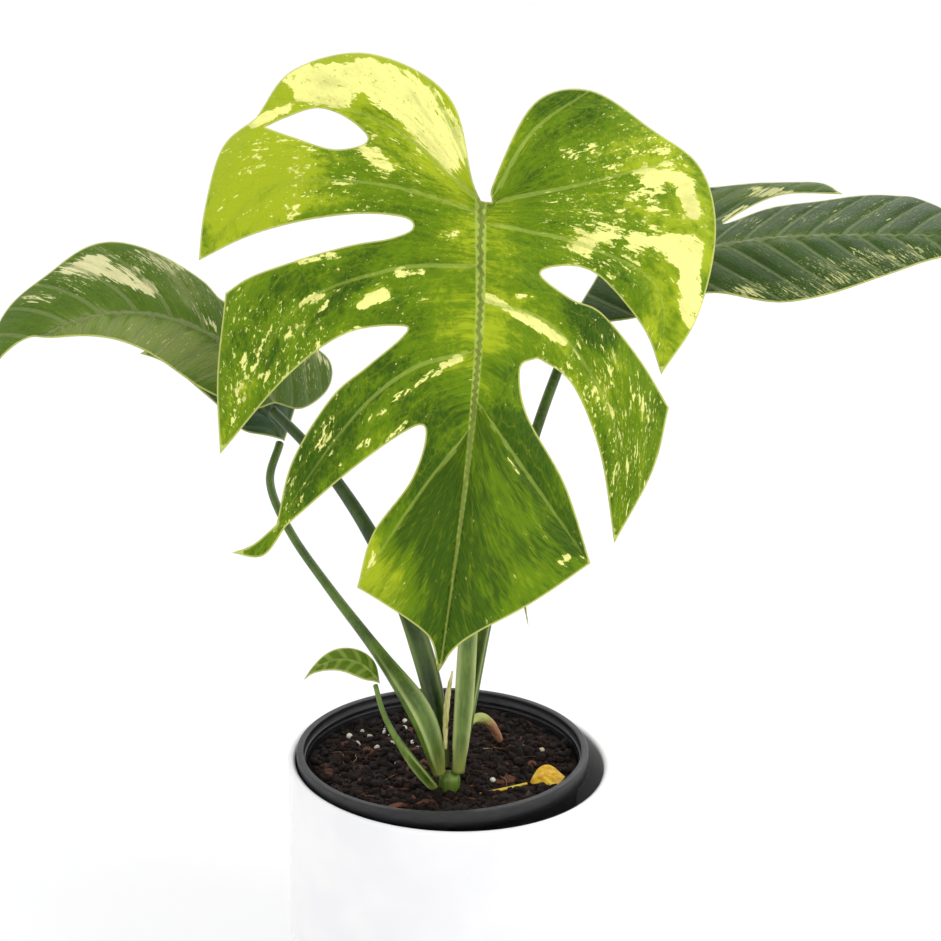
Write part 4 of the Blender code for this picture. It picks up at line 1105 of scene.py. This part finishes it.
# The left leaf's stalk stands behind the others and takes the painted-shade green.
stalk("left_leaf_stalk_fine", "stalk_green",
      grown(stalk_foot(-1.0, 1.5), (-5, 5, 70), (45, -25, -30), under(left_rib, 2.6, -3.0), 8),
      [3.2, 4.8, 5.2, 4.6, 3.8, 3.2, 2.8, 2.6], shaded_stalk, wings=0.35, upto=0.55)
stalk("left_rear_leaf_stalk_fine", "stalk_green",
      grown(stalk_foot(-1.5, -1.0), (-5, -20, 65), (-25, -35, -30), under(rear_rib, 2.2), 7),
      [3.2, 5.0, 3.2, 2.4, 2.2, 2.2, 2.2], green_stalk, wings=0.5, upto=0.36, face=(0.6, -0.8, 0.3))
stalk("right_leaf_stalk_fine", "stalk_green",
      grown(stalk_foot(1.2, 2.2), (10, 5, 80), (-35, -35, -60), under(right_rib, 2.4), 8),
      [3.2, 3.6, 3.2, 3.0, 2.8, 2.6, 2.5, 2.4], green_stalk, wings=0.6, upto=0.5, face=(-0.4, -0.9, 0))
BESIDE_STEM = 8.65  # the stem's and the small stalk's radii, and the room between them
small_foot = (*(STEM_AT - np.array([0.81, 0.59]) * BESIDE_STEM), 3.5)
stalk("small_leaf_stalk_fine", "stalk_green",
      grown(small_foot, (-10, -5, 15), (5, -10, -20), under(small_rib, 1.2), 6),
      [1.9, 2.4, 2.2, 1.6, 1.3, 1.2], pale_stalk, wings=0.4, upto=0.5)
stem_points = above_soil([(*STEM_AT, height) for height in (-26, -8, 0, 7, 9)])
stalk("stem_fine", "stalk_green", stem_points, [3.0, 4.5, 5.0, 5.25, 4.0], pale_stalk)

# %% [markdown]
# ## Withered and fallen things
# Old sheaths dry to a cream parchment, an aerial root turns from green to tan as it nears the soil, and
# one small leaf has yellowed and dropped. They are what makes a plant look grown and not made.

# %% Dry, root and yellow finishes
dry = Finish("dry_sheath", {"Specular IOR Level": 0.3})
spot = dry.place()
streak = dry.noise(dry.scaled(spot, (1, 1, 0.15)), 0.8, detail=4.0, rough=0.6)
parchment = dry.mix(paint(206, 200, 140), paint(150, 150, 66), streak.rise(0.35, 0.65))
dry.feed("Base Color", dry.mix(parchment, paint(128, 88, 40), dry.noise(spot, 5.0).rise(0.56, 0.7)))
dry.feed("Roughness", streak * 0.3 + 0.5)
dry.relief(streak, 0.25)

root = Finish("root_skin", {"Specular IOR Level": 0.3})
spot = root.place()
warts = root.cells(root.scaled(spot, (1, 1, 0.5)), 1.4)
height = root.part(spot, "Z")
aged = (height + root.noise(spot, 4.0) * 9).rise(GROUND + 32, GROUND + 20)
skin_tone = root.mix(paint(170, 178, 96), paint(196, 140, 104), aged)
skin_tone = root.mix(skin_tone, paint(118, 70, 44),
                     root.noise(spot, 1.6, detail=4.0).rise(0.55, 0.72) * aged)
root.feed("Base Color", root.mix(skin_tone, paint(70, 40, 26),
                                 (height + warts * 3).rise(GROUND + 9, GROUND + 2)))
root.feed("Roughness", warts * 0.2 + 0.6)
root.relief(warts, 0.4)

yellow = Finish("yellow_leaf", {"Specular IOR Level": 0.4})
spot = yellow.place()
blush = yellow.noise(spot, 4.0, detail=3.0)
gold = yellow.mix(paint(232, 186, 20), paint(200, 140, 10), blush.rise(0.4, 0.7))
gold = yellow.mix(gold, paint(206, 200, 60), yellow.noise(spot, 9.0).rise(0.5, 0.7) * 0.7)
yellow.feed("Base Color", yellow.mix(gold, paint(120, 70, 20),
                                     yellow.noise(spot, 1.2, detail=4.0).rise(0.66, 0.74)))
yellow.feed("Roughness", blush * 0.2 + 0.35)
yellow.relief(yellow.noise(spot, 1.0, detail=3.0), 0.1)

# %% Sheaths and root
def strip(name, points, radii, finish, flat, face, wiggle=0.0, sides=20):
    """A thin piece with a flattened section."""
    line = spaced(smooth_line(np.column_stack([points, radii]), 12), 0.9)

    def shape(at, angle):
        return (1 - flat * np.abs(np.cos(angle))) * (1 + wiggle * np.sin(at * 40 + angle * 3))

    part = skin(line[:, :3], line[:, 3], sides, face, shape)
    return build(name, [part], [finish], [name.replace("_fine", "")])


cream_line = bezier((-2, -36, 25), (-3, -36, 40), (-2, -36, 55), (0, -35, 65), 4)
strip("cream_sheath_fine", above_soil(cream_line), [0.8, 1.4, 1.3, 0.4], dry, 0.45,
      (0, -1, 0), 0.08)
dry_line = bezier((25, -10, 115), (25, -20, 110), (35, -30, 100), (35, -35, 90), 4)
strip("dry_sheath_tip_fine", above_soil(dry_line), [0.6, 1.4, 1.3, 0.25], dry, 0.55,
      (1, 0, 0), 0.06)
root_line = bezier((10, -15, 30), (15, 0, 30), (25, 20, 15), (30, 35, -20), 7)
strip("aerial_root_fine", above_soil(root_line), [1.4, 2.2, 2.5, 2.4, 2.2, 1.9, 1.2], root,
      0.0, (0, -1, 0), 0.05, 24)

# %% The fallen leaf
FALLEN_LENGTH = 18.0
FALLEN_BACK = -0.3  # share of the soil's radius behind its middle
middle = in_pot([[0, 0, SOIL_TOP]])[0]


def soil_height(x, y):
    """The soil's height at a place of the plant's own frame."""
    local_x, local_y = (x - POT[0, 3]) * math.cos(LEAN), y - POT[1, 3]
    for _ in range(4):
        spot = on_soil(local_x, local_y)
        local_x += x - spot[0]
        local_y += y - spot[1]
    return on_soil(local_x, local_y)[2]


tip_x = middle[0] + math.sqrt(1 - FALLEN_BACK ** 2) * SOIL_RADIUS - 3.5
leaf_y = middle[1] + FALLEN_BACK * SOIL_RADIUS
fallen_line = []
for share, rise in [(1.0, 1.6), (0.64, 3.0), (0.3, 3.6), (0.0, 3.4)]:
    x, y = tip_x - FALLEN_LENGTH * share, leaf_y - 2 * share
    fallen_line.append((x, y, soil_height(x, y) + rise))
fallen_rib = Rib(fallen_line, (0.2, -0.95, -0.2), fold=-8)
blade("fallen_leaf_fine", fallen_rib, oval(FALLEN_LENGTH, 9, 9, 0.5), yellow,
      lambda flat: feathered(flat, 4.0),
      spacing=0.55, rib_width=0.5, thickness=0.5, puff=0.35, wave=0.5)
start, end = STEM_AT + (15, -5), np.array(fallen_line[0][:2])
stalk_line = []
for share in (0.0, 0.25, 0.5, 0.75, 0.94):
    x, y = start + (end - start) * share
    y -= 2 * math.sin(math.pi * share)
    stalk_line.append((x, y, soil_height(x, y) + 1.4))
strip("fallen_leaf_stalk_fine", np.array(stalk_line), [0.45, 0.9, 0.95, 0.85, 0.7], yellow,
      0.2, (0, 0, 1))

# %% [markdown]
# ## Stage, light and camera
# A plant in a white pot asks for a light tent: soft light from all round, a touch more from one side so
# that the pot still looks round. The floor curves up into a low wall all the way round.

# %% Stage
tent = bpy.data.meshes.new("tent")
tent_line = [(r, -0.0004) for r in (0.1, 0.3, 0.6, 0.9, 1.2, 1.5, 1.6)]
tent_line += [(1.6 + 0.8 * math.sin(a), 0.8 - 0.8 * math.cos(a) - 0.0004)
              for a in np.radians(np.linspace(6, 90, 15))]
tent_line += [(2.4, 1.2)]
points, faces = [], [tuple(range(96))]
for r, z in tent_line:
    points += [(r * math.cos(a), r * math.sin(a), z) for a in np.linspace(0, 2 * math.pi, 96,
                                                                          endpoint=False)]
for ring in range(len(tent_line) - 1):
    faces += [(ring * 96 + s, ring * 96 + (s + 1) % 96, (ring + 1) * 96 + (s + 1) % 96, (ring + 1) * 96 + s)
              for s in range(96)]
tent.from_pydata(points, [], faces)
tent.shade_smooth()
floor = bpy.data.objects.new("floor", tent)
bpy.context.scene.collection.objects.link(floor)
paper = Finish("tent_paper", {"Base Color": (0.95, 0.95, 0.955, 1.0), "Roughness": 0.9})
tent.materials.append(paper.material)

world = bpy.data.worlds.new("soft_sky")
bpy.context.scene.world = world
world.use_nodes = True
sky = world.node_tree.nodes["Background"].inputs
sky["Color"].default_value = (1.0, 1.0, 1.0, 1.0)
sky["Strength"].default_value = 1.02


def soft_light(name, place, target, size, power):
    data = bpy.data.lights.new(name, "AREA")
    data.shape = "DISK"
    data.size = size
    data.energy = power
    lamp = bpy.data.objects.new(name, data)
    lamp.location = place
    lamp.rotation_euler = (Vector(target) - Vector(place)).to_track_quat("-Z", "Y").to_euler()
    bpy.context.scene.collection.objects.link(lamp)
    return lamp


soft_light("key", (1.3, -0.7, 1.3), (0, 0, 0.25), 1.0, 6)
soft_light("back", (0.5, 1.4, 1.5), (0, 0, 0.3), 1.0, 4)

# %% Camera
CAMERA_AT = (0.00495, -0.74465, 0.5071)  # metres: in front of the plant and a little above its front leaf
LENS = 61.2
TILT = math.radians(15.5)
ROLL = math.radians(2.2)
level_up = Vector((0, math.sin(TILT), math.cos(TILT)))
ahead = Vector((0, math.cos(TILT), -math.sin(TILT)))
to_right = math.cos(ROLL) * Vector((1, 0, 0)) + math.sin(ROLL) * level_up
upward = -math.sin(ROLL) * Vector((1, 0, 0)) + math.cos(ROLL) * level_up
lens = bpy.data.cameras.new("camera")
lens.sensor_width = 36.0
lens.lens = LENS
camera = bpy.data.objects.new("camera", lens)
camera.matrix_world = Matrix.Translation(CAMERA_AT) @ Matrix(
    (to_right, upward, -ahead)).transposed().to_4x4()
bpy.context.scene.collection.objects.link(camera)
bpy.context.scene.camera = camera
bpy.context.scene.view_settings.view_transform = "Standard"
